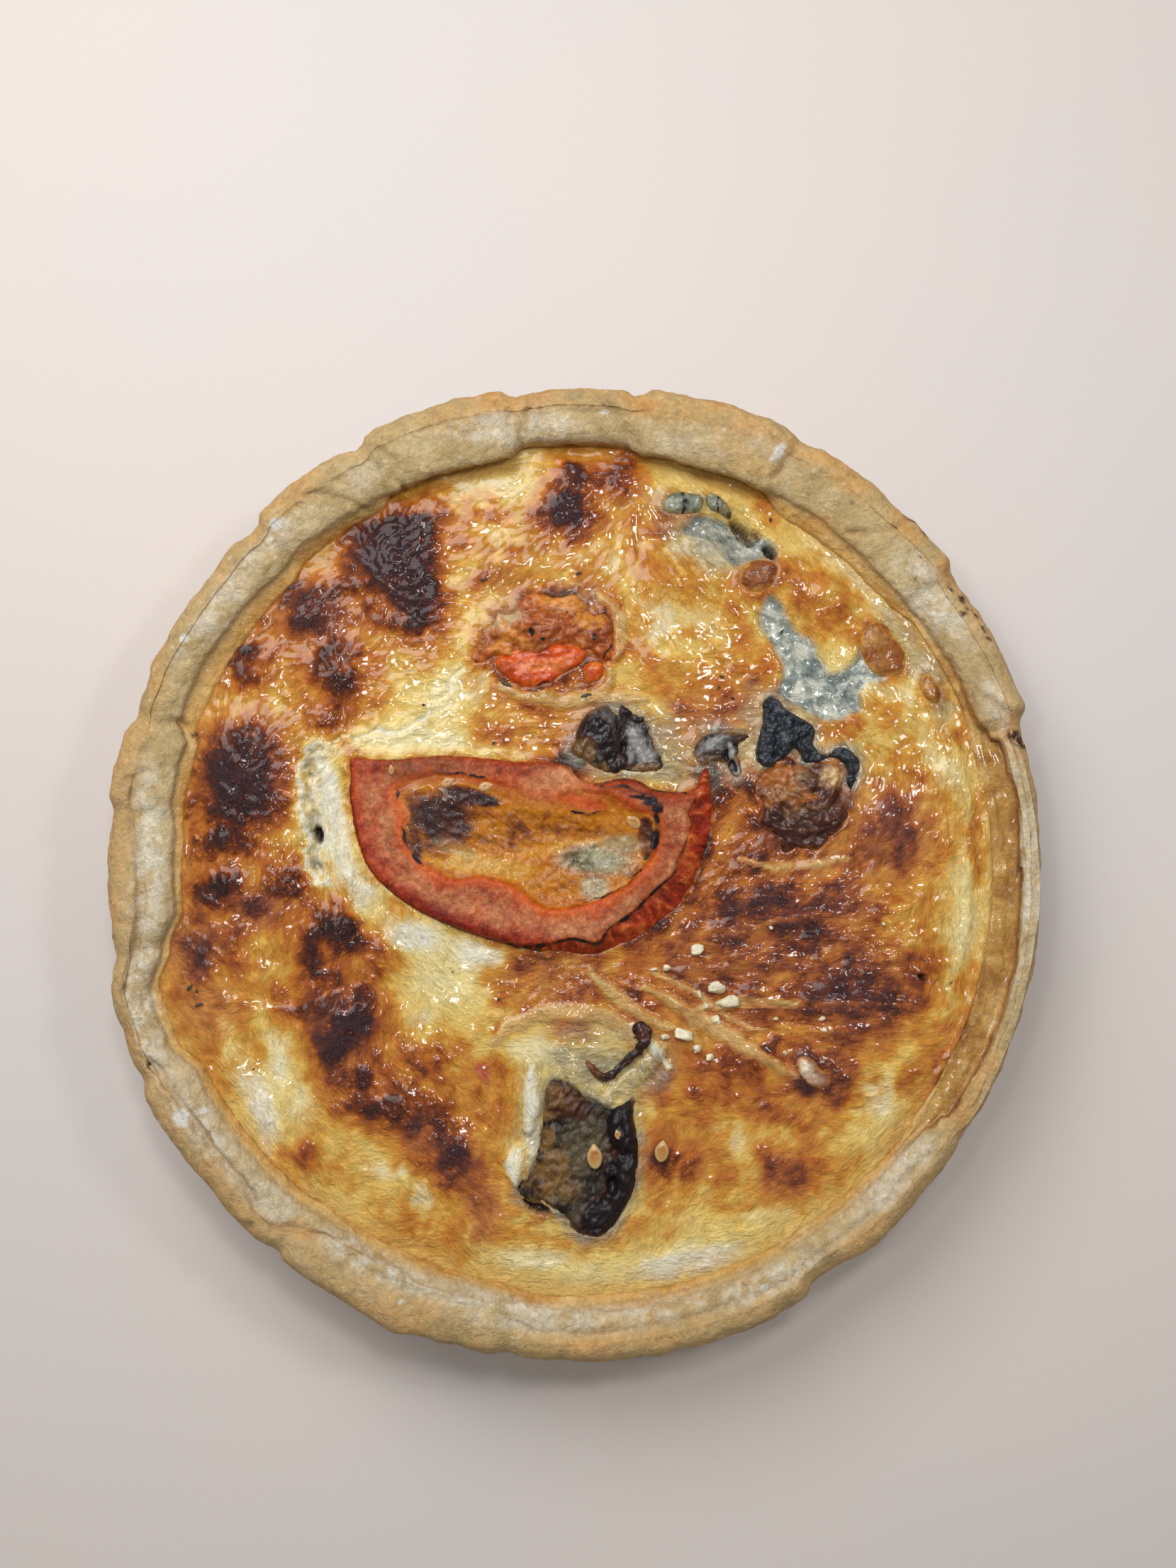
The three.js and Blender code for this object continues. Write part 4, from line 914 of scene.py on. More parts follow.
        ([(-3, -32.8), (-0.6, -36.4), (1.6, -39.4), (5.2, -42.4)], 3.2, 0.8, "veil"),
        ([(5.2, -42.4), (8, -40), (12, -36.6), (16.4, -32.2)], 3.2, 0.7, "veil"),
        ([(10, -28.6), (14, -32), (17, -36)], 1.8, 0.5, "cream"),
        ([(3, 31), (8, 31.6), (13, 31.4)], 2.4, 0.6, "rib"),
        ([(73, 28), (75, 18), (75.9, 6), (75.7, -8), (74, -20), (70.6, -30), (66, -38)], 1.7, 0.6, "fold"),
        ([(69, 26), (71.6, 16), (72.8, 4), (72.2, -8), (70.4, -18)], 2.2, 0.45, "fold"),
        ([(66, 14), (68.4, 4), (68, -6)], 2.0, 0.4, "fold"),
    ],
    # greyish see-through skin beside the vegetables
    "veil": [
        (12, 23, 8, 6, 0, 0.7), (20, 19, 8, 4, 0, 0.7), (27, 22, 7, 5, 0, 0.8), (33, 26, 3, 7, 0, 0.6),
        (2, -36, 9, 4, 0, 0.8), (13, -37, 4, 6, -30, 0.6), (-7, -50, 3, 12, 5, 0.5), (4, -30, 9, 3, 0, 0.45),
        (24, 60, 8, 4, -30, 0.7), (60, 44, 6, 3, -45, 0.6), (65, 37, 4, 3, -45, 0.6), (68, 30, 2, 3, 0, 0.6),
        (0, 50, 4, 3, 0, 0.4), (-12, 48, 5, 3, 20, 0.35), (36, 57, 2, 4, 0, 0.5), (22, 68, 8, 2, -5, 0.5),
    ],
    # where strands of vegetable fan out under the skin, and the place they fan out from
    "fan": [(42, -14, 26, 20, -8, 1.0), (0, -21, 12, 5, 0, 0.8)], "fanStart": (-2, -17),
    # bare pale filling where the skin is torn, as closed lines
    "bare": [
        [
            (35.4, 50.4), (37.6, 50), (40.6, 44.6), (44, 42.2), (46.8, 37.2), (48.6, 36.6), (51.6, 38.4),
            (52.6, 41.6), (53.8, 38.6), (57.4, 35), (53.6, 33.6), (52.4, 29), (48.4, 27.6), (45.6, 27.4),
            (42.6, 28.6), (39.8, 30.4), (37.4, 33), (38.6, 36.6), (36.8, 41), (34.2, 45.4),
        ],
        [
            (19.6, 62.6), (22.2, 65.8), (25.6, 65.4), (28.6, 64.4), (31.4, 61.6), (35.6, 61.2), (37, 58.2),
            (34.2, 57.6), (31, 56.4), (28.6, 56.2), (26.4, 60.4), (23.4, 61.4),
        ],
    ],
    "cracks": [
        ([
            (-47.4, 22), (-49.4, 18), (-49.6, 13), (-48.6, 9), (-47.8, 5.5), (-48.2, 2), (-46.8, -1.5),
        ], 0.8, 1.6),
        ([
            (-47, 21.5), (-43.5, 24.4), (-40, 24), (-37, 25.6), (-33, 24.8), (-30, 26.8), (-27.8, 28),
            (-26.2, 31), (-23.6, 32.4), (-22.6, 35.4), (-20.4, 37.2),
        ], 0.5, 0.5),
    ],
    # a bit of pepper that shows through
    "red": [(-16.9, -36.8, 1.1, 1.5, 20, 1.0), (-16.2, -38.6, 0.8, 0.9, 0, 0.6)],
    # pinholes in the skin
    "holes": [
        (29.2, 19, 0.7, 1.8, 15, 0.7), (26.6, 20.6, 1.6, 0.4, 20, 0.5), (-47.6, 6.4, 0.9, 1.5, 10, 1.0),
        (63.6, -20, 0.9, 0.5, -20, 1.0), (-7, -61.4, 2.6, 0.9, -30, 1.0), (-9.6, -57.6, 0.5, 1.0, -10, 0.8),
        (66.4, -20.4, 0.25, 0.25, 0, 0.9), (69, -21.2, 0.25, 0.25, 0, 0.9), (31, 62.6, 2.8, 0.9, -48, 0.9),
        (36, 58.8, 1.4, 0.9, -50, 1.0), (33.6, 62, 1.1, 0.7, -50, 0.6),
    ],
}


def insideRadius(degrees, inset):  # where the filling meets the pastry
    values, _, _ = foldAt(degrees)
    return values[:, 4] + inset


def fillingHeight(x, y):  # the smooth top of the filling, as in the solid
    shape = np.shape(x)
    x, y = np.ravel(np.asarray(x, float)), np.ravel(np.asarray(y, float))
    radius = np.hypot(x, y)
    height = filling["level"] + filling["dome"] * (1 - (radius / filling["reach"]) ** 2)
    for px, py, across, along, up in filling["blisters"]:
        height += up * np.exp(-2.2 * (((x - px) / across) ** 2 + ((y - py) / along) ** 2))
    for px, py, across, along, turn, down in filling["hollows"]:
        u, v = turnBy(x - px, y - py, turn)
        height -= down * np.exp(-1.6 * ((u / across) ** 2 + (v / along) ** 2))
    foot = insideRadius(np.degrees(np.arctan2(y, x)), 0)
    edge = smooth(radius, foot - filling["edgeWidth"], foot - 0.8)
    return mix(height, filling["level"] - filling["edgeDrop"], edge).reshape(shape)


drawnWays = (0, 45, 90, 135)  # four directions, in degrees, whose shares follow the skin


def pullWeights(x, y):
    roundRim = np.arctan2(y, x) * 2 + np.pi  # where nothing else pulls
    alongX, alongY = 0.25 * np.cos(roundRim), 0.25 * np.sin(roundRim)
    for (px, py), reach, run in filling["pulls"]:
        share = 2.2 * np.exp(-1.3 * ((x - px) ** 2 + (y - py) ** 2) / reach**2)
        turn = np.arctan2(y - run[1], x - run[0]) if isinstance(run, tuple) else math.radians(run) + 0 * x
        alongX, alongY = alongX + share * np.cos(2 * turn), alongY + share * np.sin(2 * turn)
    turn = np.arctan2(alongY, alongX) / 2 + 0.55 * cloud(x, y, 11, 2, 91.5)
    shares = [np.clip(np.cos(2 * (turn - math.radians(way))), 0, 1) ** 1.3 for way in drawnWays]
    total = sum(shares) + 1e-6
    return [share / total for share in shares]


def pulled(x, y, shares, size, stretch, layer, octaves=3):  # ridges drawn out along the skin
    total = 0
    for share, degrees in zip(shares, drawnWays):
        u, v = turnBy(x, y, degrees)
        total = total + share * ridges(u / stretch, v, size, octaves, layer + degrees * 0.1)
    return total


def fillingFields(x, y):
    shares = pullWeights(x, y)
    wx, wy = warped(x, y, 1.5, 7, 4, 20.5, 24.5)
    fineX, fineY = 0.6 * cloud(x, y, 1.8, 3, 35.5), 0.6 * cloud(x, y, 1.8, 3, 37.5)
    core = anySpot(wx + fineX, wy + fineY, filling["baked"], 0.62)
    grown = [(*place[:2], place[2] + 3.8, place[3] + 3.8, *place[4:]) for place in filling["baked"]]
    halo = anySpot(wx, wy, grown, 0.6)
    wash = anySpot(*warped(x, y, 3, 14, 3, 27.5, 29.5), filling["washes"], 0.6)
    lines = pulled(x, y, shares, 2.4, 3.2, 94.5)
    around = np.maximum(0.6 * halo, wash * (1.1 + 0.3 * cloud(x, y, 6, 3, 31.5)))
    baked = np.maximum(0.9 * core, around) + 0.1 * np.minimum(core, around)
    streaky = 0.12 * (lines - 0.42) * smooth(baked, 0.1, 0.5)
    blotchy = 0.15 * cloud(x, y, 3.4, 4, 30.5) * smooth(baked, 0.05, 0.35)
    baked += streaky + blotchy + 0.06 * cloud(x, y, 9, 2, 33.5)
    baked *= 1 - 0.8 * anySpot(wx, wy, filling["fresh"], 0.5)
    cream = np.maximum(
        anySpot(wx, wy, filling["cream"], 0.5), 0.5 * anySpot(wx, wy, filling["fresh"][:3], 0.5)
    )
    bare = np.zeros_like(x)
    for points in filling["bare"]:
        depth = depthInside(*warped(x, y, 0.5, 3, 2, 41.5, 44.5), smoothLine(points, 4, True))
        bare = np.maximum(bare, smooth(depth, -0.6, 0.9))
    holes = anySpot(*warped(x, y, 0.3, 1.5, 2, 51.5, 54.5), filling["holes"], 0.25)
    # strands of vegetable under the skin fan out to the lower right
    fromX, fromY = x - filling["fanStart"][0], y - filling["fanStart"][1]
    fan = np.clip(anySpot(x, y, filling["fan"], 0.35), 0, 1)
    spread = np.arctan2(fromY, fromX) * 22 + 1.5 * cloud(x, y, 12, 2, 61.5)
    strand = ridges(spread, np.hypot(fromX, fromY) * 0.16, 2.6, 3, 63.5)
    return {
        "baked": np.clip(baked, 0, 1.1), "cream": cream, "rosy": anySpot(wx, wy, filling["rosy"], 0.5),
        "amber": anySpot(wx, wy, filling["amber"], 0.5), "bare": bare, "hole": holes, "fan": fan,
        "strand": strand, "lines": lines, "shares": shares,
    }


def nearToppings(x, y):  # how near the skin is to a browned or a grey vegetable, and what lies under one
    near, nearGrey, under = np.zeros_like(x), np.zeros_like(x), np.zeros_like(x)
    browned = [tomato, onion, *roastTomato.values(), *smallPieces.values()]
    grey = [aubergineSkin, *aubergine.values()]
    for settings in browned + grey:
        loop = smoothLine(settings["outline"], 4, True)
        low, high = loop.min(axis=0) - 4, loop.max(axis=0) + 4
        chosen = (x > low[0]) & (x < high[0]) & (y > low[1]) & (y < high[1])
        depth = depthInside(x[chosen], y[chosen], loop)
        kind = near if settings in browned else nearGrey
        kind[chosen] = np.maximum(kind[chosen], np.exp(-((np.maximum(-depth, 0) / 1.3) ** 2)))
        under[chosen] = np.maximum(under[chosen], smooth(depth, 0.3, 1.5))
    return near, nearGrey, under


def makeFilling(material):
    degrees = np.arange(360.0)
    radius, radians = insideRadius(degrees, 1.0), np.radians(degrees)
    loop = np.column_stack([radius * np.cos(radians), radius * np.sin(radians)])
    low, high = loop.min(axis=0) - 1, loop.max(axis=0) + 1
    piece = trimmedSheet(low, high, filling["cell"], loop, snap=False)
    places = readPlaces(piece) / metre
    x, y = places[:, 0], places[:, 1]
    fields = fillingFields(x, y)
    baked, bare, hole = fields["baked"], fields["bare"], fields["hole"]
    height = fillingHeight(x, y)
    # blistered skin stands up and wrinkles as it browns
    fine = pulled(x, y, fields["shares"], 1.5, 2.6, 79.5, 2)
    broadFolds = (fields["lines"] - 0.4) * (0.2 + 0.4 * smooth(baked, 0.35, 0.85))
    fineFolds = (fine - 0.4) * (0.22 + 0.5 * smooth(baked, 0.4, 0.85))
    height += (1 - bare) * (broadFolds + fineFolds)
    height += 0.5 * smooth(baked, 0.35, 0.85) + 0.4 * cloud(x, y, 9, 3, 82.5)
    height += 0.1 * cloud(x, y, 2.4, 2, 84.5)
    height += fields["fan"] * (fields["strand"] - 0.4)
    height += bare * (-0.7 + 0.3 * cloud(x, y, 2.6, 3, 85.5))
    split, torn = np.zeros_like(x), np.zeros_like(x)
    for points, width, depth in filling["cracks"]:
        reach, _, _, _ = lineReach(x + 0.9 * cloud(x, y, 2.5, 4, 88.5), y, smoothLine(points, 5))
        ragged = width * (0.75 + 0.8 * cloud(x, y, 2.4, 4, 90.5))
        opening = np.exp(-((reach / np.maximum(ragged, 0.15)) ** 2))
        lips = np.exp(-(((reach - 1.5 * width) / (1.1 * width)) ** 2)) * smooth(depth, 0.2, 1.4) ** 0.5
        deepest = opening * smooth(cloud(x, y, 2.2, 2, 92.5), 0.0, 0.35) * smooth(depth, 0.8, 1.4)
        split = np.maximum(split, deepest)
        torn = np.maximum(torn, np.maximum(opening, lips))
        height += (0.25 + 0.8 * np.clip(cloud(x, y, 1.2, 3, 86.5), -0.4, 1)) * lips - depth * opening
    height -= 3.0 * hole
    near, nearGrey, under = nearToppings(x, y)
    height += 0.6 * np.maximum(near, nearGrey) * (0.7 + 0.5 * cloud(x, y, 2.2, 2, 99.5)) - 1.3 * under
    ribs = {kind: np.zeros_like(x) for kind in ("rib", "cream", "veil", "fold")}
    for points, width, rise, kind in filling["ribs"]:
        reach, share, _, _ = lineReach(*warped(x, y, 0.5, 3, 2, 66.5, 68.5), smoothLine(points, 5))
        wide = width / 2 * (0.4 + 0.6 * np.sin(np.pi * np.clip(share, 0.05, 0.95)))
        band = roundOver(np.maximum(wide * 1.15 - reach, 0), wide)
        height += rise * band
        ribs[kind] = np.maximum(ribs[kind], band)
    baked = baked * (1 - 0.6 * ribs["rib"]) * (1 - ribs["cream"]) * (1 - 0.5 * ribs["veil"])
    baked = baked * (1 - 0.85 * torn) + 0.28 * near * (0.7 + 0.6 * cloud(x, y, 3, 3, 100.5))
    radiusAt = np.hypot(x, y)
    foot = insideRadius(np.degrees(np.arctan2(y, x)), 0)
    height = mix(height, filling["buried"], smooth(radiusAt, foot + 0.1, foot + 0.9))
    writePlaces(piece, np.column_stack([x, y, height]) * metre)
    baked += 0.12 * (fine - 0.4) * smooth(baked, 0.1, 0.3) + 0.26 * fields["fan"] * (0.4 - fields["strand"])
    veil = anySpot(*warped(x, y, 1.2, 4, 3, 96.5, 98.5), filling["veil"], 0.6) * (1 - ribs["cream"])
    besideGrey = 0.85 * nearGrey * (0.8 + 0.5 * cloud(x, y, 3, 3, 102.5))
    masks = {
        "baked": np.clip(baked, 0, 1),
        "cream": np.maximum(np.maximum(fields["cream"], ribs["cream"]), torn),
        "rosy": fields["rosy"],
        "amber": np.clip(fields["amber"] + 0.5 * smooth(radiusAt, foot - 4.5, foot - 0.5), 0, 1),
        "bare": bare,
        # dark: painted shade in the pinholes and the deepest crack openings
        "dark": np.clip(hole + 0.6 * split, 0, 1),
        "rib": ribs["rib"],
        "red": anySpot(x + 0.4 * cloud(x, y, 1.6, 2, 104.5), y, filling["red"], 0.5),
        "veil": np.maximum(np.maximum(veil, besideGrey), 0.75 * ribs["veil"]),
    }
    masks.update(("drawn%d" % way, share) for way, share in zip(drawnWays, fields["shares"]))
    for name, values in masks.items():
        keepMask(piece, name, values)
    closeBelow(piece, [(0.0, -3.0), (0.012, -9.0), (0.05, -5.5)])
    finishPiece(piece, "filling", material, "custard", "custard")


def drawnNoise(tree, place, scale):  # the four directions' streaks, mixed by their shares
    parts = []
    for degrees in drawnWays:
        streak = useGroup(
            silkStreaks, Vector=place, Turn=(0, 0, -math.radians(degrees)), Scale=scale + degrees
        )["Streak"]
        parts.append(streak * maskValue(tree, "drawn%d" % degrees))
    return sum(parts[1:], parts[0])


def makeFillingMaterial():
    material, tree, shader, place = newMaterial("filling", 0.2, 0.6, 0.085, 0.45)
    lumps = noiseValue(place, 260, 6, 0.66, 0.6)
    streaks = drawnNoise(tree, place, 620.0)
    hairs = drawnNoise(tree, place, 1500.0)
    wrinkle = useGroup(wetWrinkles, Vector=place, Scale=900.0, Crease=1.0)
    baked = maskValue(tree, "baked")
    strength = remap(baked, 0.2, 0.85, 0.14, 0.46)
    uneven = (streaks - 0.5) * (strength * 0.55)
    grainy = (lumps - 0.5) * (strength * 1.5)
    hairy = (hairs - 0.5) * (strength * 0.9)
    feed(shader.inputs["Coat Weight"], remap(baked, 0.5, 0.85, 0.6, 0.3))
    bubbles = addNode(tree, "TexVoronoi", {"Vector": place, "Scale": 900.0}, "Distance")
    clusters = remap(noiseValue(place, 150, 3, 0.6), 0.42, 0.54)
    foam = remap(bubbles, 0.2, 0.4, 1.0, 0.0) * clusters * remap(baked, 0.45, 0.66, 0.0, 0.24)
    crinkle = useGroup(wetWrinkles, Vector=place, Scale=420.0, Crease=1.0)
    charred = remap(baked, 0.5, 0.8)
    # painted highlight on the wrinkle crests and painted shade in their creases, where the filling is browned
    crestHighlightAndShade = (wrinkle["Crests"] * 0.6 + crinkle["Crests"] * 0.6 - 0.2) * 0.6 * charred
    bake = baked + uneven + grainy + hairy - foam - crestHighlightAndShade
    creamy = clamped(maskValue(tree, "cream") + (streaks - 0.5) * 1.1)
    raw = ramp(creamy, [
        (0.0, 234, 202, 114), (0.35, 240, 216, 142), (0.7, 242, 226, 174), (1.0, 242, 236, 214),
    ])
    tinted = useGroup(bakedTint, Bake=bake, Rosy=maskValue(tree, "rosy"), Raw=raw)["Colour"]
    amber = ramp(streaks, [(0.3, 216, 164, 80), (0.6, 190, 128, 46)])
    colour = blendColour(maskValue(tree, "amber") * clamped(0.75 - baked), tinted, amber)
    bare = ramp(noiseValue(place, 330, 5, 0.65, 0.5), [
        (0.36, 104, 116, 112), (0.5, 152, 160, 150), (0.6, 214, 214, 198),
    ])
    colour = blendColour(maskValue(tree, "bare"), colour, bare)
    grey = ramp(streaks, [(0.36, 90, 86, 74), (0.5, 144, 140, 120), (0.62, 196, 192, 172)])
    colour = blendColour(maskValue(tree, "veil") * remap(lumps, 0.3, 0.6, 0.5, 1.0), colour, grey)
    orange = ramp(lumps, [(0.34, 170, 104, 50), (0.64, 222, 178, 124)])
    colour = blendColour(maskValue(tree, "rib") * 0.6, colour, orange)
    red = ramp(streaks, [(0.4, 150, 34, 26), (0.6, 216, 104, 84)])
    colour = blendColour(maskValue(tree, "red") * 0.9, colour, red)
    # painted shade in the drawn creases and painted highlight on their crests; the same streaks also go into
    # the relief
    creases = drawnNoise(tree, place, 880.0)
    colour = brighten(colour, (creases - 0.5) * 1.5 + 1.0)
    # painted shade in the pinholes and crack openings
    colour = blendColour(maskValue(tree, "dark"), colour, paint(52, 34, 26))
    height = streaks * 1.4 + hairs * 0.5 + creases * 1.3
    height = height + wrinkle["Height"] * remap(baked, 0.4, 0.8, 0.35, 2.2)
    height = height + crinkle["Height"] * (charred * 3.2) + foam * 2.0
    roughness = remap(lumps, 0.38, 0.62, 0.07, 0.24) + remap(baked, 0.45, 0.8, 0.0, 0.05)
    finishMaterial(shader, colour, height, 1.0, 0.0005, roughness)
    return material


# Vegetables: each is a small relief cut out along its own outline, sunk into the filling
def layTopping(name, settings, shape, material, slot, nodes, cell):
    loop = smoothLine(settings["outline"], 5, True)
    low, high = loop.min(axis=0) - cell, loop.max(axis=0) + cell
    piece = trimmedSheet(low, high, cell, loop)
    places = readPlaces(piece) / metre
    x, y = places[:, 0], places[:, 1]
    depth = np.maximum(depthInside(x, y, loop), 0)
    rise, masks = shape(x, y, depth, settings)
    writePlaces(piece, np.column_stack([x, y, fillingHeight(x, y) + rise]) * metre)
    for mask, values in masks.items():
        keepMask(piece, mask, np.clip(values, 0, 1) + 0 * x)
    closeBelow(piece, [(0.0, -0.5), (0.03, -0.9)])
    finishPiece(piece, name, material, slot, *nodes)


def roundOver(depth, width):  # a quarter round that starts at the edge
    return np.sqrt(np.clip(1 - (1 - np.clip(depth / width, 0, 1)) ** 2, 0, 1))


def alongLines(x, y, lines, wander):  # 1 on any of the lines, fading over each one's width
    total = np.zeros_like(x)
    x, y = warped(x, y, wander, 2.2, 2, 15.5, 18.5)
    for points, width in lines:
        reach, share, _, _ = lineReach(x, y, smoothLine(points, 5))
        wide = width * (0.5 + 0.5 * np.sin(np.pi * np.clip(share, 0.06, 0.94)))
        total = np.maximum(total, np.exp(-((reach / wide) ** 2)))
    return total


tomato = {
    "outline": [
        (-41.65, 20.6), (-42, 16), (-41.7, 12.2), (-40.3, 4.9), (-38.1, -0.4), (-32.5, -5.75), (-25.3, -9.8),
        (-17, -12.8), (-8.8, -14.9), (-2.5, -15.4), (1.9, -16), (7.2, -14.8), (14.5, -11.1), (20.3, -5.3),
        (23.7, 2), (25.4, 8.8), (25.3, 14), (24.4, 18.6), (23.2, 18), (22.3, 15.2), (20.3, 14.3), (17, 14.2),
        (14, 14.9), (12, 16.1), (8.65, 16.7), (3.3, 15.8), (0.4, 17.5), (-1, 19), (-5.9, 19.9), (-12.2, 20),
        (-19, 20.8), (-26.7, 21), (-35, 20.4),
    ],
    "flesh": [
        (-42.5, 21.5), (-42.8, 12.2), (-41.3, 4.9), (-39, -0.9), (-33, -6.6), (-25.6, -10.6), (-17, -13.6),
        (-8.8, -14.6), (-3.9, -13.5), (-0.6, -12.8), (4.05, -13.6), (6.2, -10.8), (9, -9.2), (12, -6.5),
        (14.7, -3.8), (17.9, -0.9), (18.6, 1.4), (19.6, 3.5), (21, 7.8), (20.5, 10.2), (22.0, 12.7),
        (22.6, 16.1), (23, 19.5), (18, 19), (8, 19), (0.4, 19), (-1, 21), (-12, 22), (-26.7, 22),
    ],
    "hollow": [
        (-32.8, 14.1), (-31.1, 9.8), (-31.6, 6.8), (-29.6, 3), (-26.7, 0.1), (-22.4, -1.9), (-17, -1.6),
        (-12.2, -2.6), (-8.3, -5.3), (-4.9, -7.4), (-0.1, -7), (5.3, -5.3), (10.1, -2.4), (13.5, 2),
        (15.4, 6.8), (15.2, 9.3), (12, 10.2), (8.65, 12.0), (7.2, 12.9), (2, 14), (-2, 13.6), (-3.9, 12),
        (-8, 12.4), (-12.2, 15.1), (-19, 16.5), (-24.8, 17.3), (-30.1, 16.1),
    ],
    # dark lines, points and width: burnt edges, and the ones along the hollow's rim painted shade where the
    # flesh steps down into it
    "charAndShade": [
        ([
            (-0.6, 18.4), (0.4, 17.2), (3.3, 15.9), (6, 16), (8.65, 16.5), (11, 16.2), (12.6, 15),
            (14.6, 14.4), (17, 14), (20.3, 13.9),
        ], 0.5),
        ([(-13, -13.6), (-8.8, -14.3), (-5, -13.7)], 0.5),
        ([(2.6, 16.2), (4.4, 15.2), (7, 14.8), (10, 14.6), (12.6, 13.4)], 0.4),
        ([(-26, 17.4), (-21, 17.2), (-16, 16.4)], 0.3), ([(-32.9, 14.5), (-32.6, 12.4)], 0.4),
        ([(-31.9, 7.2), (-30.9, 5), (-29.4, 2.2), (-27.5, 0.5)], 0.5),
        ([(14.6, 9.4), (15, 7), (14.4, 4.4), (12.8, 1.6)], 0.75),
        ([(12, -0.4), (9.6, -2.8), (5.6, -4.9), (0.4, -6.6)], 0.3),
        ([(-0.8, 10.7), (2, 9.9), (4.6, 10.5)], 0.42), ([(10, 13.2), (13, 12.6), (16, 11.6)], 0.5),
    ],
    "charSpots": [(14.2, 11.6, 2.2, 1.3, -25, 0.9), (-25, 18.8, 8, 1.0, 3, 0.3), (12, 14.4, 3, 1, -10, 0.5)],
    "browned": [
        (-28.6, 18.6, 8, 2.8, 3, 1.0), (-20, 18.4, 8, 1.6, 0, 0.6), (-33, 4, 1.6, 6, 20, 0.4),
        (17, 6, 3, 8, 10, 0.5), (12, -5, 7, 2.6, 42, 0.45), (20, 12, 3, 3, 0, 0.45),
        (-12, 18.6, 8, 1.3, 0, 0.3), (10, 14.2, 6, 1.6, -8, 0.5), (14, -4, 5, 2.2, 45, 0.4),
        (17, 4, 2, 6, 8, 0.35), (5, -11.5, 6, 1.6, 25, 0.4), (-35, 19.4, 5, 1.2, 0, 0.4),
    ],
    "paleSpots": [
        (-14, -9.6, 2.6, 1.6, -20, 0.8), (-2.6, -11.2, 2.2, 1.3, 0, 0.9), (-7.4, 13, 4, 4, 0, 0.7),
        (-33, 9, 2.4, 5, 12, 0.4), (-2, 16.4, 6, 2.4, 0, 0.8), (8, -7.6, 3.6, 1.4, 30, 0.3),
    ],
    # baked, cream and grey places in the hollow
    "jelly": {
        "baked": [
            (-8, 8.6, 14, 2.6, -4, 0.42), (-24.6, 9.2, 7, 5, -20, 0.86), (-29.4, 5, 1.6, 5, 20, 0.7),
            (-30.6, 11, 1.6, 4, 5, 0.6), (-14, 5.4, 10, 2, -6, 0.5), (3, 6.8, 8, 1.6, 0, 0.36),
            (-20, 13.2, 6.4, 2, -12, 0.7), (-16.4, 12.4, 3.2, 1.1, -14, 0.95), (-14, 8, 8, 4, -8, 0.46),
            (-2, 7, 12, 2.6, -4, 0.3), (-26, 4, 4, 2, -30, 0.5), (8, 8.4, 6, 3, 0, 0.4),
            (13.2, 6, 2, 4, 0, 0.7), (-3, -2.6, 6, 2.4, -10, 0.4), (9.6, -1.4, 4, 1.2, 35, 0.45),
            (-9, 3, 5, 2.2, 0, 0.3), (-29, 12, 2, 4, 0, 0.45),
        ],
        "cream": [
            (-20, 1.2, 7, 2.0, -8, 0.8), (-12, 0.0, 6, 1.8, -10, 0.7), (-26, 4.2, 2, 2, 30, 0.4),
            (3, 5.4, 7, 1.1, 0, 1.0), (-6, 3.4, 4, 1.2, 10, 0.6),
        ],
        "grey": [
            (3.4, 1.6, 6.4, 2.6, -4, 1.0), (-22, 3.6, 4, 1.2, -20, 0.4), (3.6, -3.4, 2.6, 2.4, 0, 0.8),
            (8.2, 4.4, 3.6, 2, 0, 0.7),
        ],
    },
}


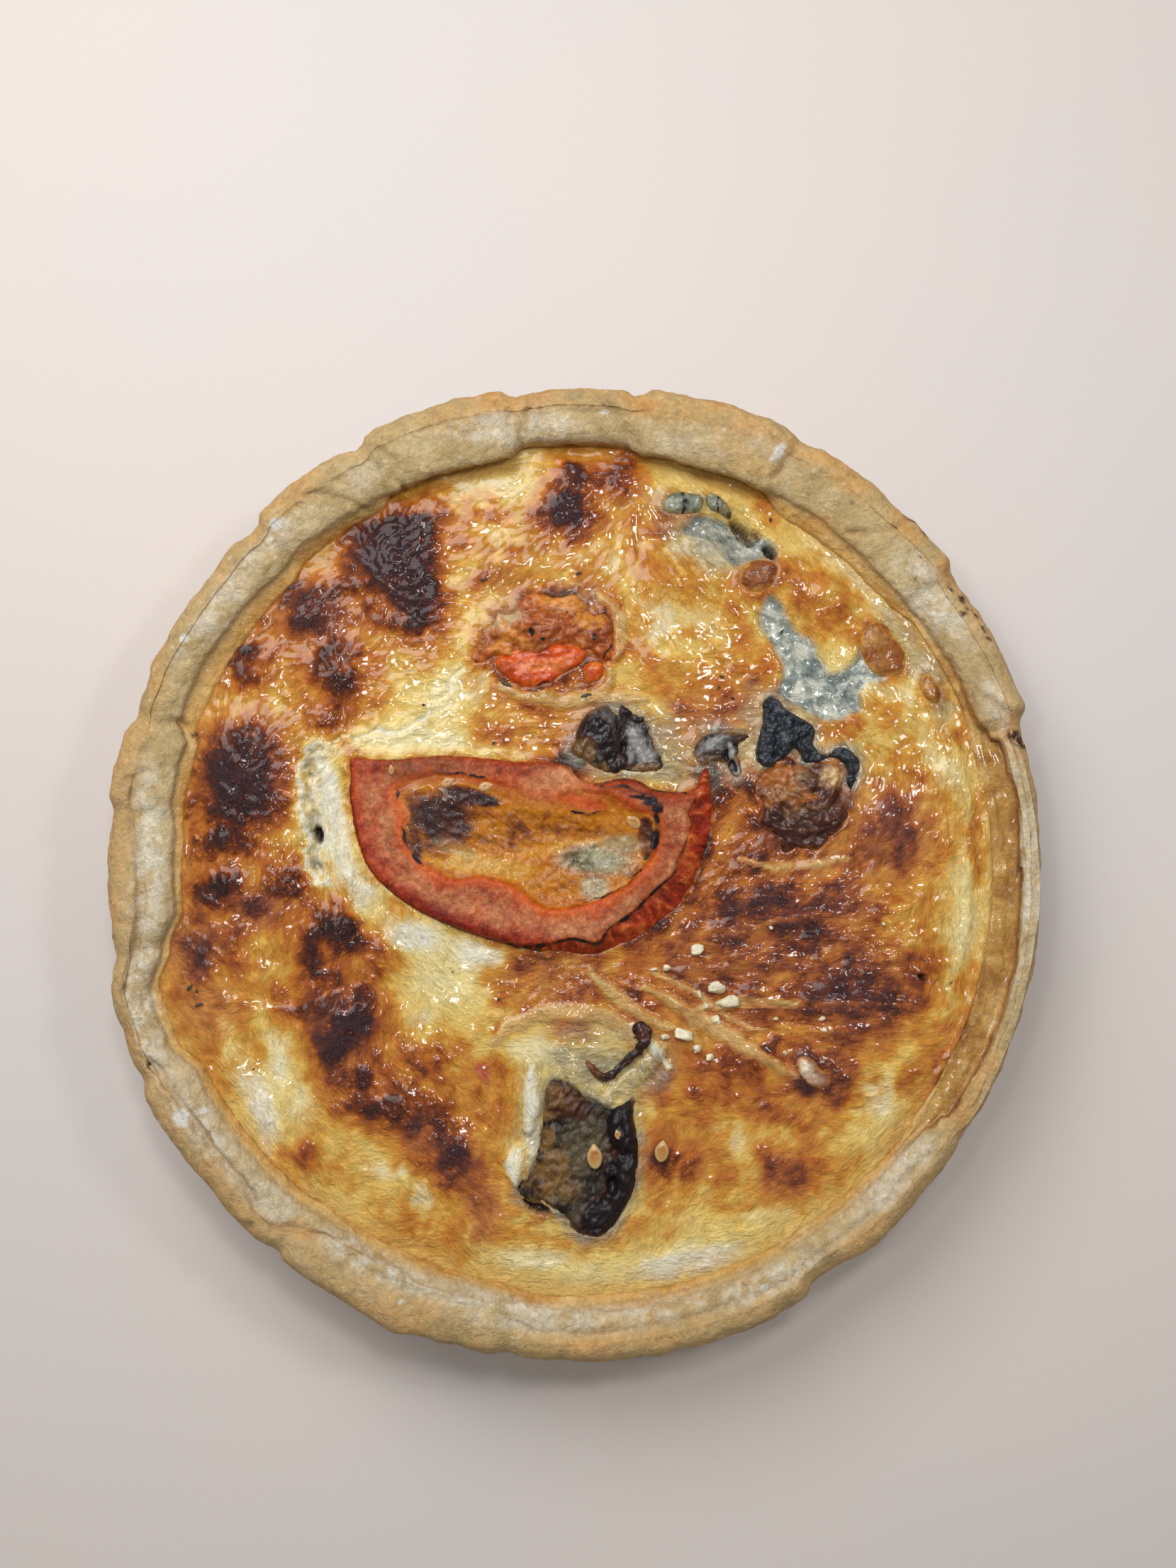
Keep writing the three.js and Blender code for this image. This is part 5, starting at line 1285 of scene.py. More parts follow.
def shapeTomato(x, y, depth, settings):
    wx, wy = warped(x, y, 0.35, 3, 2, 101.5, 104.5)
    hollowDepth = depthInside(wx, wy, smoothLine(settings["hollow"], 5, True))
    fleshDepth = depthInside(x, y, smoothLine(settings["flesh"], 5, True))
    skin = smooth(-fleshDepth, -0.15, 0.15)
    soft = 0.2 + 1.5 * smooth(y, 7, 12)  # its upper edge fades out
    hollow = smooth(hollowDepth, -0.5 * soft, soft)
    tall = 3.0 + 0.035 * x - 0.045 * y + 0.25 * cloud(x, y, 8, 2, 107.5)
    outerEdge, fleshEdge = roundOver(depth, 1.8), roundOver(np.maximum(fleshDepth, 0), 0.9)
    wall = (tall + 0.5) * outerEdge * (0.86 + 0.14 * fleshEdge) - 0.5
    lip = roundOver(np.maximum(-hollowDepth, 0), 1.3)
    wall = wall * (0.8 + 0.2 * lip) + 0.22 * cloud(x, y, 1.6, 3, 110.5) * lip
    slope = np.clip(-fleshDepth, 0, 20) / (np.clip(-fleshDepth, 0, 20) + depth + 1e-6)
    aroundRim = np.arctan2(y - 8, x) * 24
    creases = ridges(aroundRim + 0.8 * cloud(x, y, 3, 2, 113.5), np.hypot(x, y - 8) * 0.35, 2.3, 2, 116.5)
    skinRise = (tall * 0.9) * (1 - slope) ** 0.8 - 0.3
    skinRise = skinRise + 1.3 * (creases - 0.35) * np.sin(np.pi * np.clip(slope, 0.12, 0.9))
    tip = np.exp(-(((x - 23.6) / 1.3) ** 2 + ((y - 17) / 2.2) ** 2))
    jellyFloor = 1.0 + 0.35 * cloud(x, y, 5, 2, 119.5) + 0.5 * (ridges(x, y, 2.2, 3, 122.5) - 0.35)
    jellyFloor += 0.9 * np.exp(-((hollowDepth / 1.6) ** 2)) * (0.6 + 0.6 * smooth(y, 4, 12))
    jellyFloor += 0.5 * np.exp(-(((y - 9.5 + 0.12 * x) / 2.4) ** 2)) * smooth(x, -28, -20)
    jellyFloor += 0.6 * spot(x, y, (1.6, 11.6, 4.6, 1.6, -8))
    rise = mix(wall, skinRise, skin)
    rise = mix(rise, np.minimum(jellyFloor, rise), hollow)
    lines = settings["charAndShade"]
    # burnt lines and spots, with painted shade along the hollow's rim
    charAndShade = np.maximum(alongLines(x, y, lines, 0.35), anySpot(wx, wy, settings["charSpots"], 0.6))
    thin = 0.3 + 0.3 * np.clip(cloud(x, y, 5, 2, 129.5) + 0.4, 0, 1)
    offLine = (fleshDepth - 0.15 * cloud(x, y, 1.5, 2, 128.5)) / thin
    rimLine = np.exp(-(offLine**2)) * (depth > 0.4) * smooth(x, -12, -6)
    charAndShade = np.maximum(charAndShade, rimLine * (0.55 + 0.45 * (1 - smooth(y, -4, 4))))
    charAndShade = charAndShade * (0.62 + 0.5 * smooth(cloud(x, y, 2.6, 3, 132.5), -0.3, 0.3))
    rise += 0.35 * alongLines(x, y, lines[:1], 0.3) - 0.35 * alongLines(x, y, lines[5:7], 0.3)
    rise += 0.25 * alongLines(x, y, lines[2:4], 0.3) + 1.3 * tip
    leftSide = smooth(-x - 0.5 * y, -16, 6)
    lowBand = np.exp(-(((depth - 1.6) / (1.5 + 0.5 * cloud(x, y, 4, 2, 125.5))) ** 2))
    lowBand = lowBand * smooth(-y, -3, 5) * smooth(-x, 2, 12)
    edge = (1 - smooth(depth, 0.5, 1.3)) * (0.25 + 0.75 * leftSide) * (y < 19.2)
    orange = np.exp(-(((hollowDepth + 0.7) / 1.1) ** 2)) * (1 - skin)
    orange = orange * (0.45 + 0.55 * smooth(-y - 0.25 * x, -14, -4))
    middle = smooth(depth, 1.2, 4.6) * smooth(np.maximum(-hollowDepth, 0), 0.4, 2.0)
    middle = middle * (0.6 + 0.7 * cloud(x, y, 3.4, 3, 130.5)) * (1 - skin)
    pale = np.maximum(anySpot(wx, wy, settings["paleSpots"], 0.6), 0.85 * middle)
    jelly, browned = settings["jelly"], anySpot(wx, wy, settings["browned"], 0.6)
    tongue = spot(x, y, (1.6, 12, 4.4, 1.2, -12), 0.3)
    masks = {
        "skin": np.maximum(skin, np.maximum(0.9 * lowBand, edge)),
        "creases": creases * skin,
        "orange": np.maximum(orange, tongue),
        "charAndShade": charAndShade,
        "hollow": hollow * (1 - tongue),
        "wetSkin": skin,
        "baked": mix(browned, anySpot(wx, wy, jelly["baked"], 0.55), hollow),
        "cream": mix(pale, anySpot(wx, wy, jelly["cream"], 0.5), hollow),
        "grey": anySpot(wx, wy, jelly["grey"], 0.45),
    }
    return rise, masks


def makeTomatoMaterial():
    material, tree, shader, place = newMaterial("tomato", 0.4, 0.16, 0.08, 0.25)
    grain = noiseValue(place, 800, 5, 0.7, 0.4)
    broad = noiseValue(place, 210, 4, 0.6, 0.4)
    mixed = grain * 0.6 + broad * 0.4
    flesh = ramp(mixed, [(0.36, 112, 26, 8), (0.48, 156, 48, 14), (0.58, 180, 76, 30), (0.68, 206, 130, 68)])
    pale = ramp(mixed, [(0.34, 150, 80, 46), (0.5, 192, 124, 78), (0.66, 220, 168, 116)])
    colour = blendColour(maskValue(tree, "cream"), flesh, pale)
    orange = ramp(broad, [(0.3, 184, 66, 16), (0.7, 212, 104, 28)])
    colour = blendColour(maskValue(tree, "orange") * 0.85, colour, orange)
    creased = mixed + (maskValue(tree, "creases") - 0.3) * 0.44
    red = ramp(creased, [(0.3, 98, 18, 8), (0.48, 156, 40, 12), (0.62, 182, 66, 18), (0.8, 208, 112, 48)])
    colour = blendColour(maskValue(tree, "skin"), colour, red)
    fleshBake = maskValue(tree, "baked") * remap(broad, 0.3, 0.6, 0.3, 1.0)
    stained = blendColour(fleshBake, colour, ramp(grain, [(0.3, 92, 36, 14), (0.6, 146, 76, 34)]))
    creamy = maskValue(tree, "cream") + (broad - 0.5)
    raw = ramp(creamy, [(0.0, 176, 98, 8), (0.4, 196, 132, 26), (1.0, 204, 160, 76)])
    fibre = useGroup(silkStreaks, Vector=place, Turn=(0, 0, 0.6), Scale=520.0)["Streak"]
    uneven = maskValue(tree, "baked") + ((broad + fibre) * 0.5 - 0.5) * 1.5
    roast = ramp(uneven, [
        (0.2, 196, 126, 18), (0.4, 180, 108, 10), (0.58, 134, 70, 10), (0.76, 74, 32, 16), (0.95, 44, 20, 16),
    ])
    jelly = blendColour(remap(uneven, 0.12, 0.34), raw, roast)
    grey = ramp(broad, [(0.34, 92, 80, 44), (0.64, 182, 174, 140)])
    jelly = blendColour(maskValue(tree, "grey"), jelly, grey)
    colour = blendColour(maskValue(tree, "hollow"), stained, jelly)
    # painted shade in fine creases and painted highlight on their crests
    colour = useGroup(paintedCreaseShade, Colour=colour, Vector=place, Scale=1100.0, Amount=1.8)["Colour"]
    grains = useGroup(speckle, Vector=place, Scale=1500.0, Amount=0.35)["Mask"]
    colour = blendColour(grains * (0.3 - maskValue(tree, "hollow") * 0.3), colour, paint(216, 150, 98))
    # burnt edges and painted shade along the hollow's rim
    colour = useGroup(charAndShadeEdge, Colour=colour, Char=maskValue(tree, "charAndShade"), Vector=place)["Colour"]
    wetJelly = maskValue(tree, "hollow") * clamped(maskValue(tree, "grey") + 0.5)
    wet = calculate("MAXIMUM", maskValue(tree, "wetSkin"), wetJelly)
    feed(shader.inputs["Coat Weight"], remap(wet, 0, 1, 0.06, 0.4))
    wrinkle = useGroup(wetWrinkles, Vector=place, Scale=700.0, Crease=0.9)
    height = wrinkle["Height"] * remap(maskValue(tree, "hollow"), 0, 1, 0.45, 1.0) + grain * 0.7
    moist = calculate("MAXIMUM", maskValue(tree, "wetSkin"), maskValue(tree, "hollow"))
    roughness = remap(moist, 0, 1, 0.52, 0.26)
    finishMaterial(shader, colour, height, 0.8, 0.0005, roughness)
    return material


def shapeLump(x, y, depth, settings):  # a simple piece: thickness, edge, tilt, lumps and its masks
    wx, wy = warped(x, y, 0.3, 2, 2, 130.5, 133.5)
    middle = np.mean(settings["outline"], axis=0)
    tilt = settings.get("tilt", (0, 0))
    thick = settings["thick"] + tilt[0] * (x - middle[0]) + tilt[1] * (y - middle[1])
    lip = settings.get("lip", -0.45)
    rise = lip + (np.maximum(thick, 0.3) - lip) * roundOver(depth, 1.3 * settings.get("edge", 1.2))
    size, amount = settings.get("lumps", (2.5, 0.25))
    rise += roundOver(depth, 1.0) * amount * cloud(x, y, size, 3, 136.5)
    folds = settings.get("folds", 0.0)
    if folds:
        u, v = turnBy(x, y, settings.get("foldTurn", 0))
        u = u * 0.35 + 0.6 * cloud(x, y, 3, 2, 139.5)
        creased = ridges(u, v, settings.get("foldSize", 1.5), 3, 142.5)
        rise += roundOver(depth, 1.0) * folds * (creased - 0.35)
    for mark in ("ups", "downs"):
        for px, py, across, along, lean, amount in settings.get(mark, []):
            rise += (amount if mark == "ups" else -amount) * spot(wx, wy, (px, py, across, along, lean), 0.5)
    for points, width, amount in settings.get("grooves", []):
        reach = lineReach(wx, wy, smoothLine(points, 5))[0]
        rise += amount * np.exp(-((reach / width) ** 2))
    masks = {name: anySpot(wx, wy, settings.get(name, []), 0.5) for name in ("pale", "baked", "dark", "film")}
    masks["dark"] = np.maximum(masks["dark"], alongLines(x, y, settings.get("darkLines", []), 0.3))
    masks["rim"] = settings.get("rim", 1.0) * (1 - smooth(depth, 0.1, 1.6 + 0.8 * cloud(x, y, 3, 2, 147.5)))
    return rise, masks


def makeToppingMaterial(name, low, middle, high, pale, toast, film, rough, coat, scale, crease, strength):
    material, tree, shader, place = newMaterial(name, rough, coat, 0.08, 0.3)
    grain = noiseValue(place, scale, 6, 0.66, 0.5)
    colour = ramp(grain, [(0.32, *low), (0.5, *middle), (0.66, *high)])
    colour = blendColour(maskValue(tree, "pale") * remap(grain, 0.25, 0.5, 0.5, 1.0), colour, paint(*pale))
    toasted = clamped(maskValue(tree, "baked") * remap(grain, 0.25, 0.55, 0.5, 1.3))
    colour = blendColour(toasted, colour, paint(*toast))
    edge = calculate("MAXIMUM", maskValue(tree, "rim"), maskValue(tree, "film")) + (grain - 0.5) * 2.2
    colour = blendColour(remap(edge, 0.35, 0.95) * 0.85, colour, paint(*film))
    # painted shade in fine creases and painted highlight on their crests
    colour = useGroup(paintedCreaseShade, Colour=colour, Vector=place, Scale=scale * 3.4, Amount=2.2)["Colour"]
    colour = useGroup(charAndShadeEdge, Colour=colour, Char=maskValue(tree, "dark"), Vector=place)["Colour"]
    wrinkle = useGroup(wetWrinkles, Vector=place, Scale=scale * 2.2, Crease=crease)
    roughness = remap(grain, 0.3, 0.7, rough - 0.1, rough + 0.12)
    finishMaterial(shader, colour, wrinkle["Height"], strength, 0.0004, roughness)
    return material


roastTomato = {
    "skin": {
        "outline": [
            (-19.8, 38.8), (-18.8, 41.4), (-17.8, 44.2), (-15.8, 45.4), (-14.4, 47.8), (-11.6, 48),
            (-9.6, 50.6), (-6.4, 51.4), (-3, 50.4), (-0.4, 51), (1.8, 49.4), (3.2, 47.2), (5.6, 47.4),
            (7.4, 44.4), (7.2, 41.6), (7.8, 39.4), (6.2, 38), (4.4, 38.4), (2.4, 40.2), (0.2, 39.5),
            (-2.6, 40.3), (-4.8, 39.9), (-7.4, 38.9), (-9.2, 39.5), (-12, 38.5), (-14.6, 39.1), (-16.4, 37.8),
            (-18.2, 37.6),
        ],
        "thick": 1.3, "edge": 3.0, "rim": 0.5, "tilt": (0.02, -0.02), "lumps": (3, 0.8), "folds": 0.9,
        "foldSize": 2.0, "foldTurn": 10,
        "film": [
            (-12, 41, 5, 2, 0, 0.7), (3, 47, 4, 4, 0, 0.8), (-2, 50.4, 7, 2.4, 0, 0.9),
            (-14, 44, 3, 3, 30, 0.6),
        ],
        "pale": [(-13.6, 45.8, 3.6, 1.5, 22, 1.0), (-2, 49, 3, 1.5, 0, 0.4)],
        "baked": [
            (-4, 44, 7, 3, 0, 0.35), (4, 45, 4, 4, 0, 0.55), (-9, 41.4, 7, 1.6, 5, 0.5),
            (-16, 42.4, 4, 2, 0, 0.5), (-1, 50.6, 5, 1.6, 0, 0.5), (-13, 50.4, 3, 2, 30, 0.45),
        ],
        "dark": [
            (-8, 43.7, 0.5, 0.8, 20, 1), (-6, 42.3, 0.4, 0.4, 0, 1), (-18.4, 37.9, 0.4, 0.4, 0, 1),
            (3.6, 42.6, 0.4, 0.9, 0, 0.9), (-1.6, 47.4, 0.3, 0.3, 0, 0.9),
        ],
        "darkLines": [([(4.8, 38.6), (6.4, 40.6), (6.6, 42.6)], 0.2)],
    },
    "flesh": {
        "outline": [
            (-15, 38.6), (-12.4, 40.4), (-8, 40.8), (-4, 41.6), (0.6, 41.2), (2.4, 40.4), (1.4, 37.8),
            (-0.4, 36.6), (-2.2, 35.6), (-4.2, 34.2), (-6.6, 33.4), (-9.4, 33.2), (-11.8, 34.2),
            (-13.6, 35.6), (-14.8, 37),
        ],
        "thick": 0.9, "edge": 1.6, "lumps": (2.4, 0.35), "rim": 0.5, "folds": 0.4, "foldSize": 1.4,
        "pale": [(-6, 37.4, 5, 1.2, 5, 0.4)],
        "dark": [(-13.6, 34.5, 1.8, 0.5, -35, 1), (-6, 33.9, 1.4, 0.3, 10, 0.9)],
        "baked": [(-1.6, 36.6, 2, 1.6, 0, 0.2), (-13, 36.4, 2, 1.5, 0, 0.35)],
    },
    "lobe": {
        "outline": [
            (1.6, 37.6), (3.2, 38.4), (5, 38.2), (5.6, 36.6), (4.8, 34.8), (3, 33.9), (1.6, 34.4), (1.2, 36),
        ],
        "thick": 1.2, "edge": 1.2, "lumps": (2, 0.2), "pale": [(3.4, 37, 1, 0.7, 0, 0.4)],
        "dark": [(4.6, 39.2, 0.5, 1, 0, 0.8)],
    },
}

aubergine = {
    "slice": {
        "outline": [
            (-4.2, -37.8), (-6, -40), (-6.2, -43.7), (-7.3, -50.5), (-9.6, -56.2), (-10.6, -59.2),
            (-8.6, -60.6), (-5.4, -61.2), (-2.6, -63.4), (-1, -65.6), (3.5, -67.2), (6.9, -65.3), (9.5, -61),
            (10.9, -58.2), (11.8, -52.5), (11.7, -49.7), (11.0, -45.4), (11.2, -41.8), (10, -40.8),
            (9, -42.6), (6.9, -43.2), (5.4, -42.4), (2.9, -41.4), (0.6, -39.6), (-1.4, -38.2),
        ],
        "thick": 0.55, "edge": 2.0, "tilt": (0.03, -0.01), "lumps": (1.9, 0.6), "folds": 0.75,
        "foldSize": 1.4, "foldTurn": 60,
        "film": [
            (-3.6, -55, 4.4, 6, 20, 0.75), (-3, -41, 4, 3.6, 0, 0.55), (-5, -48, 1.6, 6, 0, 0.7),
            (-6, -58, 4, 3, 0, 0.5),
        ],
        "pale": [
            (2, -50, 4.4, 4, 0, 0.9), (-1.6, -58, 3, 2.4, 0, 0.8), (0, -53.6, 4, 2, 0, 0.8),
            (1.4, -63, 3, 1.5, -20, 0.6), (0.4, -57.6, 1.4, 1, 0, 1.0), (-3.4, -56.4, 1.6, 1, 0, 0.9),
        ],
        "baked": [
            (-1.8, -42.2, 3.6, 3, 0, 0.66), (-4, -39.6, 2.4, 2, 0, 0.4), (-3.6, -53.6, 1.2, 4.4, 32, 0.42),
            (-6.6, -56.4, 2.6, 2.4, 0, 0.4), (0.6, -44.4, 3, 1.5, 0, 0.5), (-0.6, -56.8, 0.6, 3, 20, 0.4),
        ],
        "dark": [
            (8.4, -45.2, 2.2, 4.6, 0, 0.95), (9.8, -51, 2.2, 5.4, 0, 0.95), (7.4, -49.2, 2, 2.4, 0, 0.6),
            (8.6, -57, 3.2, 4.6, 25, 0.95), (4.6, -62.8, 4.6, 3.4, 40, 0.9), (6.6, -53.6, 1.6, 4, 10, 0.55),
        ],
        "darkLines": [
            ([(6.4, -44.4), (6, -47), (6.6, -50)], 0.5), ([(-10.2, -57.6), (-9.8, -60), (-8, -60.9)], 0.35),
            ([(11.2, -53), (11, -50.6)], 0.9),
        ],
        "downs": [(6.5, -57.4, 0.8, 1.6, -15, 1.6)],
        "ups": [
            (8.4, -46, 1.8, 4.4, 0, 1.1), (9.4, -52, 1.6, 7, 0, 1.1), (4, -63, 4.4, 2.4, 35, 0.8),
            (7.4, -58, 2, 3, 20, 0.7), (-2, -42, 3, 2.4, 0, 0.5),
        ],
    },
    "fold": {
        "outline": [
            (-0.4, 24), (0.4, 26.6), (1.8, 28.6), (4, 29.8), (6.2, 29.9), (7.4, 28.9), (8.2, 30.3),
            (9.6, 29.9), (11, 29), (12.8, 28.2), (14, 26.6), (14.6, 24.4), (15.8, 21.8), (16.6, 19),
            (15.4, 17.6), (12.6, 17.2), (9.4, 17.6), (7, 17), (4.8, 17.6), (2.6, 18.6), (0.6, 19.6),
            (-1.4, 21.4),
        ],
        "thick": 1.1, "edge": 1.6, "lumps": (1.8, 0.6), "folds": 0.8, "foldSize": 1.3, "foldTurn": 75,
        "rim": 0.7,
        "film": [
            (0.4, 21, 3.4, 3.4, 0, 1.0), (4.6, 18.4, 3, 1.4, 0, 0.8), (12.6, 18.2, 4, 1.3, 0, 0.8),
            (15.4, 22, 1, 4, 0, 0.5),
        ],
        "pale": [
            (11.2, 23.8, 1.5, 2.6, 18, 0.95), (13.2, 20.6, 1.5, 1.8, 0, 0.7), (10, 20.6, 1, 1.4, 0, 0.5),
            (5, 27.6, 2.4, 1, 10, 0.25),
        ],
        "baked": [(1.4, 22, 2, 2.4, 0, 0.6), (12.6, 18.6, 2.6, 0.8, 0, 0.5)],
        "dark": [
            (3.2, 26, 3, 2.4, 20, 0.7), (5.6, 23.2, 1.7, 4.6, 14, 0.95), (7.2, 19.6, 1.6, 2.2, 20, 0.9),
            (11.4, 28, 3, 1.1, -25, 0.9), (14.6, 24, 0.9, 3.4, 20, 0.9), (8.9, 23, 0.8, 4, 8, 0.85),
            (9.6, 28.8, 1.2, 1, 0, 0.9),
        ],
        "downs": [(11.6, 23.6, 3.2, 5, 20, 1.3), (8.6, 24, 0.8, 4.6, 8, 0.6)],
        "ups": [(4.6, 25, 2, 3.8, 20, 0.8), (11.2, 23.6, 1.0, 2.4, 20, 0.6), (13.2, 20.4, 1.1, 1.4, 0, 0.4)],
    },
    "shard": {
        "outline": [
            (21.4, 21.6), (22.6, 24), (24.8, 25.2), (28, 25.4), (31.6, 25), (32.4, 24), (30.6, 22.8),
            (30.2, 20.6), (31, 18), (30.2, 16.4), (28.6, 17), (27.6, 18.8), (25.6, 19.6), (23.4, 18.4),
            (22, 19.4),
        ],
        "thick": 0.8, "edge": 1.3, "lumps": (1.6, 0.5), "folds": 0.9, "foldSize": 1.1,
        "film": [(24, 20, 2.4, 1.6, 0, 0.6), (31.4, 24.4, 1.6, 0.8, 0, 0.6)], "foldTurn": 25,
        "pale": [
            (25.4, 23, 2.6, 1, 25, 0.7), (28.8, 21.4, 0.7, 1.8, 15, 0.9), (29.6, 18.4, 0.6, 1.4, 20, 0.8),
            (22.6, 20.8, 1, 1, 0, 0.5),
        ],
        "dark": [
            (28, 20.8, 0.4, 1.3, 10, 1), (29.1, 18.8, 0.6, 1.3, 20, 1), (29.9, 22.8, 0.9, 0.5, 0, 0.9),
            (26.2, 21.4, 1.4, 0.5, 20, 0.5), (24, 19.6, 1, 0.4, 0, 0.5),
        ],
        "baked": [(31, 23.6, 1.4, 1, 0, 0.5), (26, 19.6, 1.6, 1, 0, 0.5)],
        "downs": [
            (28, 20.8, 0.5, 1.3, 10, 0.9), (29.1, 18.8, 0.6, 1.3, 20, 0.9), (29.9, 22.8, 0.9, 0.5, 0, 0.7),
        ],
    },
}

aubergineSkin = {
    "outline": [
        (34.2, 30.4), (35.6, 31.9), (37.5, 31.3), (38.7, 29.7), (40.7, 28.4), (42.6, 27.3), (44.1, 26),
        (44.2, 24.5), (43.9, 23), (45.4, 21.2), (47, 21.5), (48, 22.3), (49.9, 22.3), (51.8, 21),
        (52.6, 19.5), (52.1, 16.6), (51.1, 14.7), (50.7, 12.8), (50.1, 14.4), (49.8, 16), (49.9, 17.9),
        (48.9, 19.6), (47, 20.2), (44.8, 19.3), (41.9, 19.4), (41.3, 21), (40.3, 21.9), (39.1, 20.7),
        (37.5, 19.5), (35.3, 18.5), (34, 18.8), (33, 20.7), (33.4, 23.3), (34.2, 26.4), (34.4, 29),
    ],
    "thick": 1.4, "edge": 1.0, "lumps": (1.3, 0.75), "folds": 0.9, "foldSize": 1.4, "foldTurn": 62,
    "lip": -0.1, "rim": 0.55,
    "grooves": [
        ([(37, 29), (37.4, 25), (36.6, 20.6)], 0.4, -0.6), ([(40.4, 27), (41, 24.6), (43, 22.4)], 0.4, -0.6),
        ([(45.6, 20.4), (48, 21.4), (50.6, 20.4), (51.6, 17)], 0.35, -0.35),
    ],
}

onion = {
    "outline": [
        (34.2, 18.4), (36.6, 20.4), (39.6, 20.8), (42.4, 19.2), (45.2, 20.1), (47.9, 19.4), (49.9, 17.6),
        (49.3, 14.4), (50.8, 11), (49.2, 7.2), (46.9, 5.6), (44.8, 3.0), (41.2, 3.6), (38.2, 2.4),
        (36.6, 5.6), (33.2, 8), (34.2, 11.4), (32.6, 14.6),
    ],
    "thick": 1.3, "edge": 3.2, "tilt": (0.02, -0.05), "lumps": (2.2, 0.9), "layers": (43.0, 17.5),
    "film": [(37.4, 16.6, 4.4, 3.8, 0, 0.9), (41.6, 13.6, 3.4, 2.4, 0, 0.6), (36, 12.6, 2.4, 2.4, 0, 0.6)],
    "pale": [
        (47.4, 16.9, 2.4, 1.9, 25, 1.0), (39.6, 15.4, 3.4, 2.6, 30, 0.35), (42.6, 10.6, 4.6, 1.2, 10, 0.3),
    ],
    "baked": [
        (36, 8.6, 2.4, 3, 0, 0.75), (40, 5.6, 5, 1.6, -20, 0.6), (44, 8, 5, 4, 0, 0.5),
        (38, 17.6, 3, 2, 0, 0.32), (43, 13, 4, 3, 0, 0.42), (47.6, 11, 2, 4, 0, 0.45),
    ],
    "dark": [(35, 9.6, 0.9, 2, 0, 0.5), (37.4, 6.2, 2, 0.7, -30, 0.4), (49.4, 15, 0.6, 2.4, 0, 0.6)],
    "darkLines": [([(36, 7.2), (39.6, 4.6), (43.6, 4.0), (47, 6.2)], 0.2)],
}


def shapeOnion(x, y, depth, settings):
    rise, masks = shapeLump(x, y, depth, settings)
    cx, cy = settings["layers"]
    reach = np.hypot((x - cx) * 0.95, (y - cy)) + 0.5 * cloud(x, y, 5, 2, 150.5)
    reach = reach * 1.6 + 0.4 * cloud(x, y, 2.0, 2, 153.5)
    rings = ridges(reach, np.arctan2(y - cy, x - cx) * 1.2, 1.5, 3, 155.5) + 0.3
    low = smooth(cy - y, -3, 2)
    rise += roundOver(depth, 1.4) * (0.6 * (rings - 0.7) * low + 0.5 * spot(x, y, (47.4, 16.9, 2.2, 1.7, 25)))
    masks["baked"] = np.clip(masks["baked"] + 0.9 * (0.75 - rings) * low, 0, 1)
    return rise, masks


